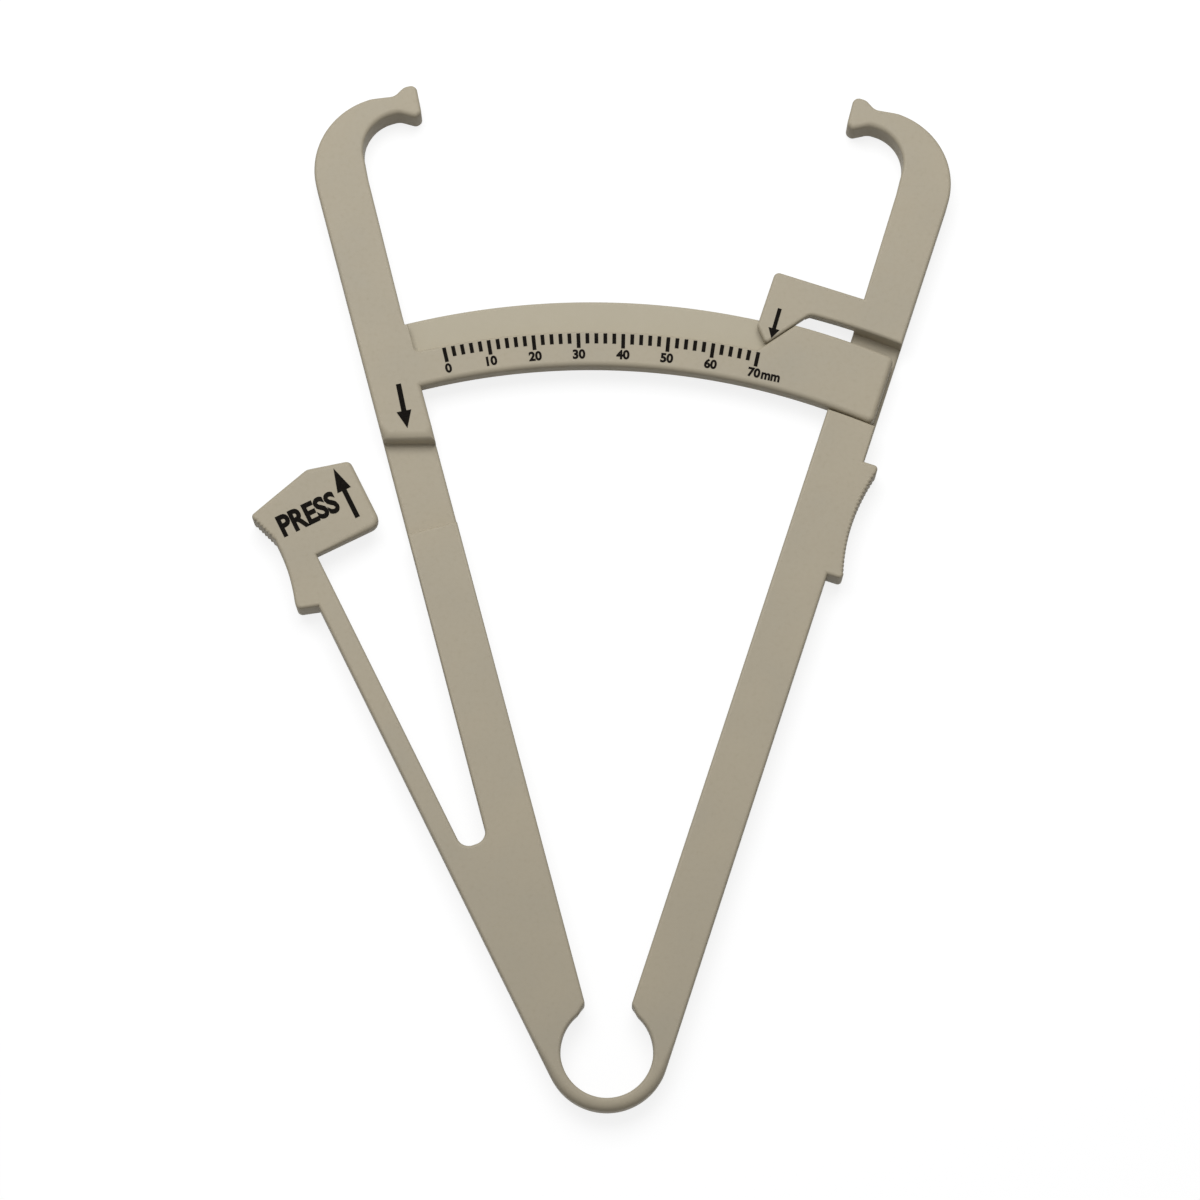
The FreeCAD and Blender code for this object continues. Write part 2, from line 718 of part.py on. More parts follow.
def make_scale_ticks():
    """Each graduation stands where the pointer is when the jaws are open by its reading."""
    ticks = []
    for reading in range(0, SCALE_END + 1, TICK_STEP):
        angle = 2 * math.degrees(math.asin(reading / (2 * jaw_radius.value))) - shut_angle.value
        length = SIZES["tick_long"] if reading % LONG_STEP == 0 else SIZES["tick_short"]
        corner = FreeCAD.Vector(-SIZES["tick_width"] / 2, tick_end(angle) - length, SIZES["thickness"])
        tick = Part.makeBox(SIZES["tick_width"], length, SIZES["ink"], corner)
        tick.rotate(FreeCAD.Vector(), FreeCAD.Vector(0, 0, 1), -angle)
        ticks.append(tick)
    feature = doc.addObject("Part::Feature", "scale_ticks")
    feature.Label = "scale_ticks"
    feature.Shape = Part.makeCompound(ticks)
    feature.Placement = FreeCAD.Placement()


def check_document():
    """Stop if any object failed, or if a sub-part is empty or broken."""
    for item in doc.Objects:
        if "Invalid" in item.State or "Error" in item.State:
            raise RuntimeError(f"{item.Label} failed: {item.State}")
    for part in sub_parts():
        if part.Shape.isNull() or not part.Shape.isValid():
            raise RuntimeError(f"{part.Label} has no valid shape")


def sub_parts():
    return [item for item in doc.Objects if item.TypeId in ("PartDesign::Body", "Part::Feature")]


def export_parts():
    os.makedirs("parts", exist_ok=True)
    for part in sub_parts():
        part.Shape.exportStep(f"parts/{part.Label}.step")
        box = part.Shape.BoundBox
        print(f"{part.Label}: {len(part.Shape.Solids)} solid(s), {part.Shape.Volume:.2f} mm3, "
              f"x {box.XMin:.2f}..{box.XMax:.2f}, y {box.YMin:.2f}..{box.YMax:.2f}, "
              f"z {box.ZMin:.2f}..{box.ZMax:.2f}")


def report_motion():
    """Print what the joints need: the jaws' opening and closing angle, and the press lever's pivot."""
    opening = jaw_radius * 2 * sine(half_jaw)
    pivot = seen_from(lever_pivot, lever_lean, upright)
    print(f"jaws open by {opening.value:.2f} mm, shut at {half_jaw.value * 2:.2f} degrees")
    print(f"press lever's pivot x {pivot[0].value:.3f}, y {pivot[1].value:.3f}, "
          f"parallel to the arm at {SIZES['lever_angle']:.2f} degrees")


make_hinge_ring()
make_scale_arm_foot()
make_scale_arm()
make_hook("left_jaw_hook", scale_lean, LEFT)
make_jaw("left_jaw", scale_lean, LEFT)
make_scale_arc()
make_arc_end_block()
make_pointer_arm_foot()
make_pointer_arm()
make_pointer_tab()
make_hook("right_jaw_hook", pointer_lean, RIGHT)
make_jaw("right_jaw", pointer_lean, RIGHT)
make_finger_rest()
make_lever_beam()
make_press_pad()
make_thumb_rest()
make_arrows()
make_scale_ticks()
doc.recompute()
check_document()
export_parts()
report_motion()
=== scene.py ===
# %% [markdown]
# # A skinfold caliper
# A skinfold caliper pinches a fold of skin between two jaws and reads its thickness on a curved
# scale. This one is a single moulding in pale springy plastic: two arms that spring apart on a
# C-shaped ring, a scale plate that slides through the pointer arm, and a thin press lever with a
# pad for the thumb. The CAD model gives the places and the sizes. Here every member gets the soft
# edges, the ribs, the print and the satin plastic of the real tool. The first step loads the model.

# %% Load the model
import bmesh
import bpy
import math
import numpy as np
from mathutils import Matrix


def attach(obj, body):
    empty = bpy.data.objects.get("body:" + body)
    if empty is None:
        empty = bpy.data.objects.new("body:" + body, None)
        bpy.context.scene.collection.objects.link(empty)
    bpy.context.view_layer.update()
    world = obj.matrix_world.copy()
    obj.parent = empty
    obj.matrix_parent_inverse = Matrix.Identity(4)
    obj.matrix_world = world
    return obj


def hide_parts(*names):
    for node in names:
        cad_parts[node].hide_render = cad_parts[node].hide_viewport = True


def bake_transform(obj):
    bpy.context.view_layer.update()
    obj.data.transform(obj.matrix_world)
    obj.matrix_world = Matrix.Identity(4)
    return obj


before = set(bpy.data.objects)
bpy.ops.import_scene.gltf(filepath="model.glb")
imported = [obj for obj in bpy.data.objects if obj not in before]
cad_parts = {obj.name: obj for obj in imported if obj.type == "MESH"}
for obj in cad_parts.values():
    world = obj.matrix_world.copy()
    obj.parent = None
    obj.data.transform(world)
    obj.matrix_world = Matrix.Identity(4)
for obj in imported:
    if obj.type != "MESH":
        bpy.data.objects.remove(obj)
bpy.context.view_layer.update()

# %% [markdown]
# ## Frames
# Each arm is straightforward to draw when it stands upright, so each has a frame of its own:
# "across" is square to the arm and "along" runs from the ring outwards. A frame leans to the left
# by some degrees. One rotation matrix lays an outline where its arm stands. All outlines are in
# millimetres, and the mesh is scaled to metres at the very end.

# %% Frames of the two arms and the lever
UPRIGHT = 0.0
SCALE_ARM = 16.6
POINTER_ARM = -16.6
LEVER = 28.2
MM = 0.001


def turned(points, degrees):
    """Points turned counter-clockwise about the hinge: (x cos - y sin, x sin + y cos)."""
    points = np.asarray(points, float)
    cosine, sine = math.cos(math.radians(degrees)), math.sin(math.radians(degrees))
    return points @ np.array([[cosine, sine], [-sine, cosine]])


def seen_from(points, old_frame, new_frame):
    """The same places in another arm's frame."""
    return turned(points, old_frame - new_frame)


print("the lever leans", round(LEVER - SCALE_ARM, 1), "degrees from the scale arm")

# %% [markdown]
# ## Curves of an outline
# The outline of a moulding is made of straight runs, long arcs and small rounded corners. A
# drawing program would use Bezier curves. Points on circles are chosen here, because each arc then
# has exactly the radius of the CAD edge that it follows, and two neighbours that share an arc get
# the same points and leave no crack.

# %% Arcs and rounded corners
CORNER_STEPS = 8
HINGE = (0.0, 0.0)


def unit(way):
    """The same direction with length 1."""
    return np.asarray(way, float) / np.linalg.norm(way)


def polar(radius, degrees):
    """A point at an angle from the frame's upright line, positive to the left."""
    return turned((0.0, radius), degrees)


def on_circle(across, radius, centre=HINGE):
    """The upper point of a circle at this place across."""
    return np.array([across, centre[1] + math.sqrt(radius**2 - (across - centre[0])**2)])


def sweep(centre, start, end, steps):
    """Points on a circle about centre, from start to end by the shorter way, both included."""
    first = math.atan2(start[1] - centre[1], start[0] - centre[0])
    last = math.atan2(end[1] - centre[1], end[0] - centre[0])
    shorter = (last - first + math.pi) % (2 * math.pi) - math.pi
    angles = first + shorter * np.linspace(0, 1, steps + 1)
    circle = np.stack([np.cos(angles), np.sin(angles)], axis=1)
    return np.asarray(centre) + math.dist(centre, start) * circle


def bow(start, end, radius, turn, steps):
    """The arc from start to end. Its centre lies left of the chord where turn is 1, else right."""
    start, end = np.asarray(start, float), np.asarray(end, float)
    chord = end - start
    half = np.hypot(*chord) / 2
    side = np.array([-chord[1], chord[0]]) / (2 * half)
    centre = (start + end) / 2 + side * turn * math.sqrt(radius**2 - half**2)
    return sweep(centre, start, end, steps)


def corner(before, point, after, radius):
    """A rounded corner: the arc of this radius that touches the sides towards before and after."""
    before, point, after = (np.asarray(spot, float) for spot in (before, point, after))
    back, ahead = unit(before - point), unit(after - point)
    half = math.acos(float(np.clip(back @ ahead, -1, 1))) / 2
    centre = point + unit(back + ahead) * radius / math.sin(half)
    reach = radius / math.tan(half)
    return sweep(centre, point + back * reach, point + ahead * reach, CORNER_STEPS)


print("a quarter turn in 4 steps:", np.round(bow((1, 0), (0, 1), 1, 1, 4), 2).tolist())

# %% [markdown]
# ## Stretches of an outline
# A moulded edge is never sharp: the mould's cutter leaves a small radius, and the edges that face
# the ring are softer still. But where two members of one moulding meet, the plastic runs through
# and there is no edge at all. So an outline is put together from stretches, and each says whether
# its front and its back edge are rounded (1) or joined to a neighbour (0), and with which radius.
# Where a free edge of the neighbour ends on a straight side, a wall of no length with the
# neighbour's direction makes the two roundings meet in a mitre.

# %% Stretch and meeting
EDGE = 0.5          # usual radius of a moulded edge
SOFT_EDGE = 0.8     # and of the front edges that face the ring
JOINED = dict(front=0, back=0)
ITS_OWN = (math.nan, math.nan)


def stretch(points, front=1, back=1, radius=EDGE, behind=EDGE, facing=ITS_OWN):
    """The points where some walls start, and for these walls: whether the front and the back edge
    are rounded, the radius in front and behind, and their direction, if it isn't their own."""
    points = np.atleast_2d(np.asarray(points, float))
    column = np.ones(len(points))
    sizes = [column * size for size in (front, back, radius, behind)]
    return points, *sizes, column[:, None] * np.asarray(facing)


def meeting(point, facing, front=1, back=1, radius=EDGE):
    """A wall of no length for a neighbour's free edge. facing points into the plastic."""
    return stretch([point], front, back, radius, facing=unit(facing))


print("edge radius", EDGE, "mm, soft edges", SOFT_EDGE, "mm")

# %% [markdown]
# ## From outline to slab
# Every member is a flat slab with rounded rims. A Bevel modifier on an extruded outline is the
# usual way, but it also bevels the places where two members join, which leaves grooves across the
# moulding. Here the rim is computed. With r for its radius and the angle a from 0 to 90 degrees,
# each corner of the outline moves inwards by r (1 - cos a) while it climbs by r sin a. The
# direction of that move is solved from the two walls that meet at the corner, so that a joined
# wall stays exactly where it is. One more ring, slightly further in at the same height, keeps the
# flat faces flat when the mesh is shaded smooth. A round corner of the outline must be larger than
# all this, or its rings cross.

# %% The rim of a slab
RIM_STEPS = 6
FLAT_MARGIN = 0.05


def inward_moves(inward, rounded):
    """For each corner the move m with m . n = 1 for a rounded wall and 0 for a joined one, where n
    is the inward direction of either wall. Walls that are rounded alike share the middle way."""
    before, share = np.roll(inward, 1, axis=0), np.roll(rounded, 1)
    cross = before[:, 0] * inward[:, 1] - before[:, 1] * inward[:, 0]
    safe = np.where(np.abs(cross) < 1e-6, 1.0, cross)[:, None]
    solved = np.stack([share * inward[:, 1] - rounded * before[:, 1],
                       rounded * before[:, 0] - share * inward[:, 0]], axis=1) / safe
    middle = (before + inward) / (1 + np.sum(before * inward, axis=1))[:, None]
    return np.where((share == rounded)[:, None], middle * rounded[:, None], solved)


def rim(points, moves, radius):
    """Rings from wall to flat face: points + move r (1 - cos a), and how far each ring is from the
    face, r (1 - sin a), for a from 0 to 90 degrees and one ring more."""
    angles = np.linspace(0, math.pi / 2, RIM_STEPS + 1)[:, None]
    shift = np.concatenate([radius * (1 - np.cos(angles)), radius[None] + FLAT_MARGIN])[:, :, None]
    short = np.concatenate([radius * (1 - np.sin(angles)), radius[None] * 0])[:, :, None]
    return points + moves * shift, short


print("rings in a rim:", RIM_STEPS + 2)

# %% The slab's surface
THICKNESS = 5.0     # of the whole moulding


def slab(outline, low=0.0, high=THICKNESS):
    """A plate between two heights, as rings of points from the back face over both rims to the
    front face. A clockwise outline, whose shoelace sum is negative, is turned round first."""
    columns = [np.concatenate(column) for column in zip(*outline)]
    points, front, back, radius, behind, facing = columns
    ahead = np.roll(points, -1, axis=0)
    if np.sum(points[:, 0] * ahead[:, 1] - points[:, 1] * ahead[:, 0]) < 0:
        points, radius, behind = points[::-1], radius[::-1], behind[::-1]
        front, back, facing = (np.roll(wall[::-1], -1, axis=0) for wall in (front, back, facing))
        ahead = np.roll(points, -1, axis=0)
    inward = np.stack([points[:, 1] - ahead[:, 1], ahead[:, 0] - points[:, 0]], axis=1)
    inward /= np.maximum(np.hypot(*inward.T), 1e-9)[:, None]
    inward = np.where(np.isnan(facing), inward, facing)
    under, raised = rim(points, inward_moves(inward, back), behind)
    over, lowered = rim(points, inward_moves(inward, front), radius)
    return np.concatenate([np.concatenate([under, low + raised], axis=2)[::-1],
                           np.concatenate([over, high - lowered], axis=2)])


print("rings in a slab:", 2 * (RIM_STEPS + 2))

# %% [markdown]
# ## From slab to Blender piece
# The rings become quads between neighbours and one many-sided face at each end. Corners that fall
# together, as at a joined wall, are merged. The mesh is shaded smooth, and edges over 40 degrees,
# which only joined walls have, stay sharp. Each piece stands in for the CAD node of its name and
# takes over its place.

# %% Make a mesh
SHARP = 40
SAME_PLACE = 1e-6


def closed_faces(rings, count):
    """The corner numbers of the quads between rings of count points, and of a face at each end."""
    low = np.arange(rings - 1)[:, None] * count
    here = np.arange(count)[None]
    following = (here + 1) % count
    high = low + count
    quads = np.stack([low + here, low + following, high + following, high + here], axis=2)
    ends = [list(range(count))[::-1], list(range((rings - 1) * count, rings * count))]
    return quads.reshape(-1, 4).tolist() + ends


def mesh_from_slab(rings, lean):
    """A closed mesh in metres from a slab that is drawn in the frame of one arm."""
    mesh = bpy.data.meshes.new("slab")
    flat = rings.reshape(-1, 3)
    places = np.concatenate([turned(flat[:, :2], lean), flat[:, 2:]], axis=1) * MM
    mesh.from_pydata(places.tolist(), [], closed_faces(*rings.shape[:2]))
    work = bmesh.new()
    work.from_mesh(mesh)
    bmesh.ops.remove_doubles(work, verts=work.verts, dist=SAME_PLACE)
    bmesh.ops.dissolve_degenerate(work, dist=SAME_PLACE, edges=work.edges)
    work.to_mesh(mesh)
    work.free()
    return mesh


def join_slabs(name, slabs, lean):
    """One mesh from all slabs of a member, shaded smooth."""
    joined = bmesh.new()
    for rings in slabs:
        joined.from_mesh(mesh_from_slab(rings, lean))
    mesh = bpy.data.meshes.new(name)
    joined.to_mesh(mesh)
    joined.free()
    mesh.shade_smooth()
    mesh.set_sharp_from_angle(angle=math.radians(SHARP))
    return mesh


print("edges over", SHARP, "degrees stay sharp")

# %% Make a piece
SCALE_SIDE, POINTER_SIDE, PRESS_LEVER = "scale_side", "pointer_side", "press_lever"


def add_object(name, data):
    """A new object in the scene, at the origin: its place is in its mesh."""
    made = bpy.data.objects.new(name, data)
    bpy.context.scene.collection.objects.link(made)
    return made


def add_member(name, body, lean, *slabs):
    """A moulded member that replaces the CAD node of its name and moves with that node's body.
    A member that bends has no body of its own."""
    piece = add_object(name + "_moulded", join_slabs(name, slabs, lean))
    piece.data.materials.append(plastic)
    if body:
        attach(piece, body)
    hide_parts(name)
    print(f"{name}: {len(piece.data.polygons)} faces, {piece.dimensions.x / MM:.1f} x "
          f"{piece.dimensions.y / MM:.1f} x {piece.dimensions.z / MM:.1f} mm")
    return piece


# %% [markdown]
# ## Writing materials as sums
# A procedural material is arithmetic on noise. Laid out by hand it is a web of Math nodes. A small
# class that wraps a node's output lets Python's own signs add those nodes, so a finish reads like
# a formula, and every other node comes from a single method that takes its type, its settings and
# what goes into its sockets.

# %% A strand of shader maths
class Strand:
    """An output of a node. Arithmetic on it adds Math nodes."""

    def __init__(self, finish, socket):
        self.finish, self.socket = finish, socket

    def reckon(self, operation, first, second):
        return self.finish.node("ShaderNodeMath", {"operation": operation}, {0: first, 1: second})

    def __add__(self, other):
        return self.reckon("ADD", self, other)

    def __sub__(self, other):
        return self.reckon("SUBTRACT", self, other)

    def __rsub__(self, other):
        return self.reckon("SUBTRACT", other, self)

    def __mul__(self, other):
        return self.reckon("MULTIPLY", self, other)

    def __pow__(self, other):
        return self.reckon("POWER", self, other)

    __radd__, __rmul__ = __add__, __mul__


print("signs that add nodes: + - * **")

# %% A finish
BUMP_STRENGTH, BUMP_HEIGHT = 0.2, 0.02


class Finish:
    """A material, or the world, whose nodes are added one call at a time."""

    def __init__(self, name, kind="materials"):
        self.material = getattr(bpy.data, kind).new(name)
        self.material.use_nodes = True
        self.tree = self.material.node_tree
        self.tree.nodes.clear()

    def node(self, kind, settings, sockets, result=0):
        """Add a node: settings first, then a value or strand for each socket. Gives one output."""
        made = self.tree.nodes.new(kind)
        for name, value in settings.items():
            setattr(made, name, value)
        for name, value in sockets.items():
            if isinstance(value, Strand):
                self.tree.links.new(value.socket, made.inputs[name])
            else:
                made.inputs[name].default_value = value
        return Strand(self, made.outputs[result]) if made.outputs else None

    def sees_background(self):
        """1 for the camera's own rays and for what shows in gloss and glass, else 0."""
        camera, glossy, clear = (self.node("ShaderNodeLightPath", {}, {}, f"Is {kind} Ray")
                                 for kind in ("Camera", "Glossy", "Transmission"))
        return camera + glossy + clear

    def place(self):
        """Object coordinates: where the point is, in metres."""
        return self.node("ShaderNodeTexCoord", {}, {}, "Object")

    def noise(self, place, size, detail):
        """Soft noise from 0 to 1 whose lumps are about this many millimetres across."""
        sockets = {"Vector": place, "Scale": 1 / (size * MM), "Detail": detail}
        return self.node("ShaderNodeTexNoise", {}, sockets)

    def mix(self, share, first, second):
        """A colour that goes from first to second as share goes from 0 to 1."""
        sockets = {0: share, 6: first, 7: second}
        return self.node("ShaderNodeMix", {"data_type": "RGBA"}, sockets, 2)

    def skin(self, tone, roughness, gloss, height):
        """Colour, roughness and fine bumps on a Principled shader. Returns the material."""
        bump = self.node("ShaderNodeBump", {}, {
            "Strength": BUMP_STRENGTH, "Distance": BUMP_HEIGHT * MM, "Height": height})
        shader = self.node("ShaderNodeBsdfPrincipled", {}, {
            "Base Color": tone, "Roughness": roughness, "Specular IOR Level": gloss,
            "Normal": bump})
        self.node("ShaderNodeOutputMaterial", {}, {"Surface": shader})
        return self.material


print("bumps of", BUMP_HEIGHT, "mm")

# %% Colours
def linear(red, green, blue):
    """A colour as a screen shows it, 0 to 255, as the linear colour that shaders work in."""
    shown = np.array([red, green, blue]) / 255
    levels = np.where(shown < 0.04045, shown / 12.92, ((shown + 0.055) / 1.055)**2.4)
    return [*levels.tolist(), 1.0]


print("pale plastic in linear light:", np.round(linear(176, 170, 150), 3).tolist())

# %% [markdown]
# ## The moulded plastic
# The tool is polystyrene or ABS in a warm grey-white, faintly mottled where the pigment flowed in
# the mould, with a satin skin. One flat colour would look like paint, so noise at three sizes mixes
# four close tones: clouds of more than a centimetre, flow marks of a few millimetres and specks of
# about half a millimetre. Flow marks and specks also make the gloss uneven. A finer grain and the
# flow marks, through Bump, are the skin of the mould, which breaks up the highlights. All of it
# reads Object coordinates, so the pattern runs on over the joins. On the recessed strip, the
# thinnest plastic of the tool, a lighter and warmer colour is painted in: painted light that stands
# in for light shining through it from below. A face attribute marks these places: a mesh without
# that attribute simply counts as 0.

# %% Plastic
PLASTIC_MIDDLE = linear(172, 164, 146)
PLASTIC_WARM = linear(177, 168, 147)
PLASTIC_COOL = linear(166, 160, 144)
PLASTIC_SPECK = linear(156, 147, 126)
# painted light: a lighter, warmer tone that stands in for light shining through the strip
PLASTIC_PAINTED_LIGHT = linear(180, 173, 154)
PAINTED_LIGHT_MARK = "painted_light"       # the face attribute that marks where painted light goes
PAINTED_LIGHT_SHARE = 0.85
CLOUD, FLOW, SPECK, GRAIN = 14.0, 3.5, 0.7, 0.35    # how large the lumps are, in mm
SATIN, UNEVEN = 0.4, 0.12
PLASTIC_GLOSS = 0.3


def make_plastic():
    """Close tones mixed by noise, painted light shining through the strip, and a satin skin."""
    finish = Finish("moulded_plastic")
    place = finish.place()
    clouds, flow = finish.noise(place, CLOUD, 3.0), finish.noise(place, FLOW, 3.0)
    specks, grain = finish.noise(place, SPECK, 4.0), finish.noise(place, GRAIN, 2.0)
    tone = finish.mix(clouds * 2.4 - 0.7, PLASTIC_COOL, PLASTIC_WARM)
    tone = finish.mix(flow * 0.8 + 0.1, tone, PLASTIC_MIDDLE)
    tone = finish.mix(specks ** 6 * 1.5, tone, PLASTIC_SPECK)
    # Painted light: where the mark is 1, the tone turns lighter and warmer, as light shining
    # through.
    painted_light = finish.node("ShaderNodeAttribute", {"attribute_name": PAINTED_LIGHT_MARK}, {}, "Fac")
    tone = finish.mix(painted_light * PAINTED_LIGHT_SHARE, tone, PLASTIC_PAINTED_LIGHT)
    roughness = specks * UNEVEN + flow * UNEVEN + SATIN
    return finish.skin(tone, roughness, PLASTIC_GLOSS, grain + flow * 2.0)


plastic = make_plastic()
print("plastic:", len(plastic.node_tree.nodes), "nodes")

# %% [markdown]
# ## The hinge ring
# The ring is a thin C that bends when the jaws close: it is hinge and spring at once. Its outer
# rim is well rounded at the bottom, where hands slide over it, and the rounding fades out towards
# the arms. A torus would give neither the flat front nor the changing wall, so the ring is a slab
# between two circles whose centres lie 0.4 mm apart.

# %% Hinge ring
RING_BORE = 7.3
RING_OUTER = 9.8
RING_LIFT = 0.4
RING_EDGE = 1.3
RING_STEPS = 40
FADE_HIGH, FADE_LOW = 3.0, -6.0


def eased(share, start, end):
    """From start to end as share goes from 0 to 1, smoothly: by 3 share^2 - 2 share^3."""
    return start + (end - start) * share**2 * (3 - 2 * share)


def ring_rounding(points):
    """Radius of the outer rim: usual at FADE_HIGH above the hinge, full at FADE_LOW."""
    share = np.clip((FADE_HIGH - points[:, 1]) / (FADE_HIGH - FADE_LOW), 0, 1)
    return eased(share, EDGE, RING_EDGE)


def ring_cut(lean, side):
    """Where the ring is joined to an arm: the ends of the cut at the bore and at the outside."""
    direction = turned((side, 0.0), -lean * side)
    return direction * RING_BORE, direction * RING_OUTER + (0.0, RING_LIFT)


bore_left, outside_left = ring_cut(LEVER, -1)
bore_right, outside_right = ring_cut(SCALE_ARM, 1)
ring_inside = sweep(HINGE, bore_left, bore_right, RING_STEPS)
ring_outside = sweep((0.0, RING_LIFT), outside_right, outside_left, RING_STEPS)
outside_edge = ring_rounding(ring_outside)
hinge_ring = add_member("hinge_ring", None, UPRIGHT, slab([
    stretch(ring_inside[:-1]),
    stretch(ring_inside[-1:], **JOINED),
    stretch(ring_outside[:-1], radius=outside_edge[:-1], behind=outside_edge[:-1]),
    stretch(ring_outside[-1:], radius=outside_edge[-1:], behind=outside_edge[-1:], **JOINED),
]))
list(bore_left * MM)
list(bore_right * MM)
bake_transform(hinge_ring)

# %% [markdown]
# ## The foot of the scale arm
# This wide wedge joins the ring, the scale arm and the press lever. A slot with a round end
# divides arm and lever, and a short slanted lip ends the ring's bore. The outline simply follows
# these features one after another, in the scale arm's frame. The back edge of the lip is eased
# with a larger radius, which fades out along the bore, so that a peg slips in without catching.

# %% Lip and bore
ARM_INNER = 1.4
LIP_HEIGHT = RING_BORE + 0.9
LIP_ANGLE = 23.4
LIP_ROUND = 0.6
LIP_EASE = 2.4
LIP_STEPS, BORE_STEPS = 12, 24


def lip_and_bore(side, bore_end):
    """The arm's inner edge turns into a slanted lip, whose back edge is eased, and then into the
    bore. side is -1 for the left arm and 1 for the right one."""
    lip = np.array([ARM_INNER * side, LIP_HEIGHT])
    lip_bore = polar(RING_BORE, -LIP_ANGLE * side)
    bore_start = polar(RING_BORE, -(LIP_ANGLE + 5) * side)
    above = corner(lip + (0.0, 5.0), lip, lip_bore, LIP_ROUND)
    below = corner(lip, lip_bore, bore_start, LIP_EASE + 0.4)
    steps = np.linspace(0, 1, LIP_STEPS + 1)[1:-1, None]
    slant = above[-1] + (below[0] - above[-1]) * steps
    bore = sweep(HINGE, bore_start, bore_end, BORE_STEPS)[:-1]
    share = np.concatenate([np.zeros(len(above)), steps[:, 0], np.ones(len(below)),
                            np.linspace(1, 0, len(bore))])
    easing = eased(share, EDGE, LIP_EASE)
    return stretch(np.concatenate([above, slant, below, bore]), behind=easing)


print("lip from", LIP_HEIGHT, "mm above the hinge, eased by", LIP_EASE, "mm")

# %% Scale arm's foot
ARM_OUTER = RING_OUTER - RING_LIFT * math.sin(math.radians(SCALE_ARM))
LEVER_OUTER = RING_OUTER - RING_LIFT * math.sin(math.radians(LEVER))
LEVER_INNER = LEVER_OUTER - 3.4
SLOT_END = 38.1
SLOT_SHARE = 0.95   # of half the slot's width, so that its two round corners stay apart
LEVER_ROOT = SLOT_END + 2.9
FOOT_TOP = SLOT_END + 3.9


def ring_side(start, toward, lean):
    """The outer wall's first centimetre, in steps along which the rim's radius fades out."""
    wall = start + unit(toward - start) * np.linspace(0, 10, 11)[:, None]
    rounding = ring_rounding(turned(wall, lean))
    return stretch(wall, radius=rounding, behind=rounding)


splay = math.radians((LEVER - SCALE_ARM) / 2)
slot_left = (-LEVER_INNER, (SLOT_END + LEVER_INNER * math.sin(splay)) / math.cos(splay))
slot_left = seen_from(slot_left, LEVER, SCALE_ARM)
slot_right = np.array([-ARM_OUTER, (SLOT_END - ARM_OUTER * math.sin(splay)) / math.cos(splay)])
slot_radius = math.dist(slot_left, slot_right) / 2 * SLOT_SHARE
lever_root = [(-LEVER_OUTER, LEVER_ROOT), (-LEVER_INNER, LEVER_ROOT)]
root_outer, root_inner = seen_from(lever_root, LEVER, SCALE_ARM)
bore_end, outside_end = seen_from([bore_left, outside_left], UPRIGHT, SCALE_ARM)
add_member("scale_arm_foot", SCALE_SIDE, SCALE_ARM, slab([
    lip_and_bore(-1, bore_end),
    stretch([bore_end], **JOINED),
    ring_side(outside_end, root_outer, SCALE_ARM),
    stretch([root_outer], **JOINED),
    stretch([root_inner]),
    stretch(corner(root_inner, slot_left, slot_right, slot_radius)),
    stretch(corner(slot_left, slot_right, (-ARM_OUTER, FOOT_TOP + 9), slot_radius * 0.98)),
    stretch([(-ARM_OUTER, FOOT_TOP)], **JOINED),
    stretch([(-ARM_INNER, FOOT_TOP)]),
]))

# %% [markdown]
# ## The scale arm
# Three straight stretches: a plain beam, a recessed track that the press pad slides over, and a
# full-depth head above a slanted step. Where the track joins the beam only the front edge of the
# beam shows, so there the front is rounded and the back is joined. The step's edge is the roundest
# of all, because the thumb slides over it, and its radius fades out along the head's sides. The
# scale plate grows out of the head's inner side.

# %% Places on the scale arm
ARC_LEDGE = 118.3
ARC_INNER = ARC_LEDGE - 5.95
STRIP_OUTER = ARC_LEDGE + 5.75
SHELF_OUTER = ARC_LEDGE + 5.0
SHELF_EDGE = 0.3
SHELF_FADE = (0.0, 1.5)
ARC_ASIDE = 2.6     # how far the arc's centre lies beside the hinge
ARC_CENTRE = np.array([-ARC_ASIDE, 0.0])
STEP_HEIGHT = ARC_LEDGE - 12.5
STEP_SLOPE = math.tan(math.radians(14.6))
TRACK_START = STEP_HEIGHT - 16.5
TRACK_FLOOR = 2.2
STEP_EDGE = 1.4
STEP_FADE = (0.0, 2.5)
HEAD_INNER = ARM_INNER - 0.35
HOOK_START = ARC_LEDGE + 31.9


def step_along(across):
    """Where the slanted step crosses the scale arm."""
    return STEP_HEIGHT - (across + ARM_OUTER) * STEP_SLOPE


arc_centre = seen_from(ARC_CENTRE, UPRIGHT, SCALE_ARM)
arc_foot = on_circle(-ARM_INNER, ARC_INNER, arc_centre)
arc_top = on_circle(-ARM_INNER, SHELF_OUTER, arc_centre)
step_outer = np.array([-ARM_OUTER, step_along(-ARM_OUTER)])
step_inner = np.array([-ARM_INNER, step_along(-ARM_INNER)])
print("step from", np.round(step_outer, 2).tolist(), "to", np.round(step_inner, 2).tolist())

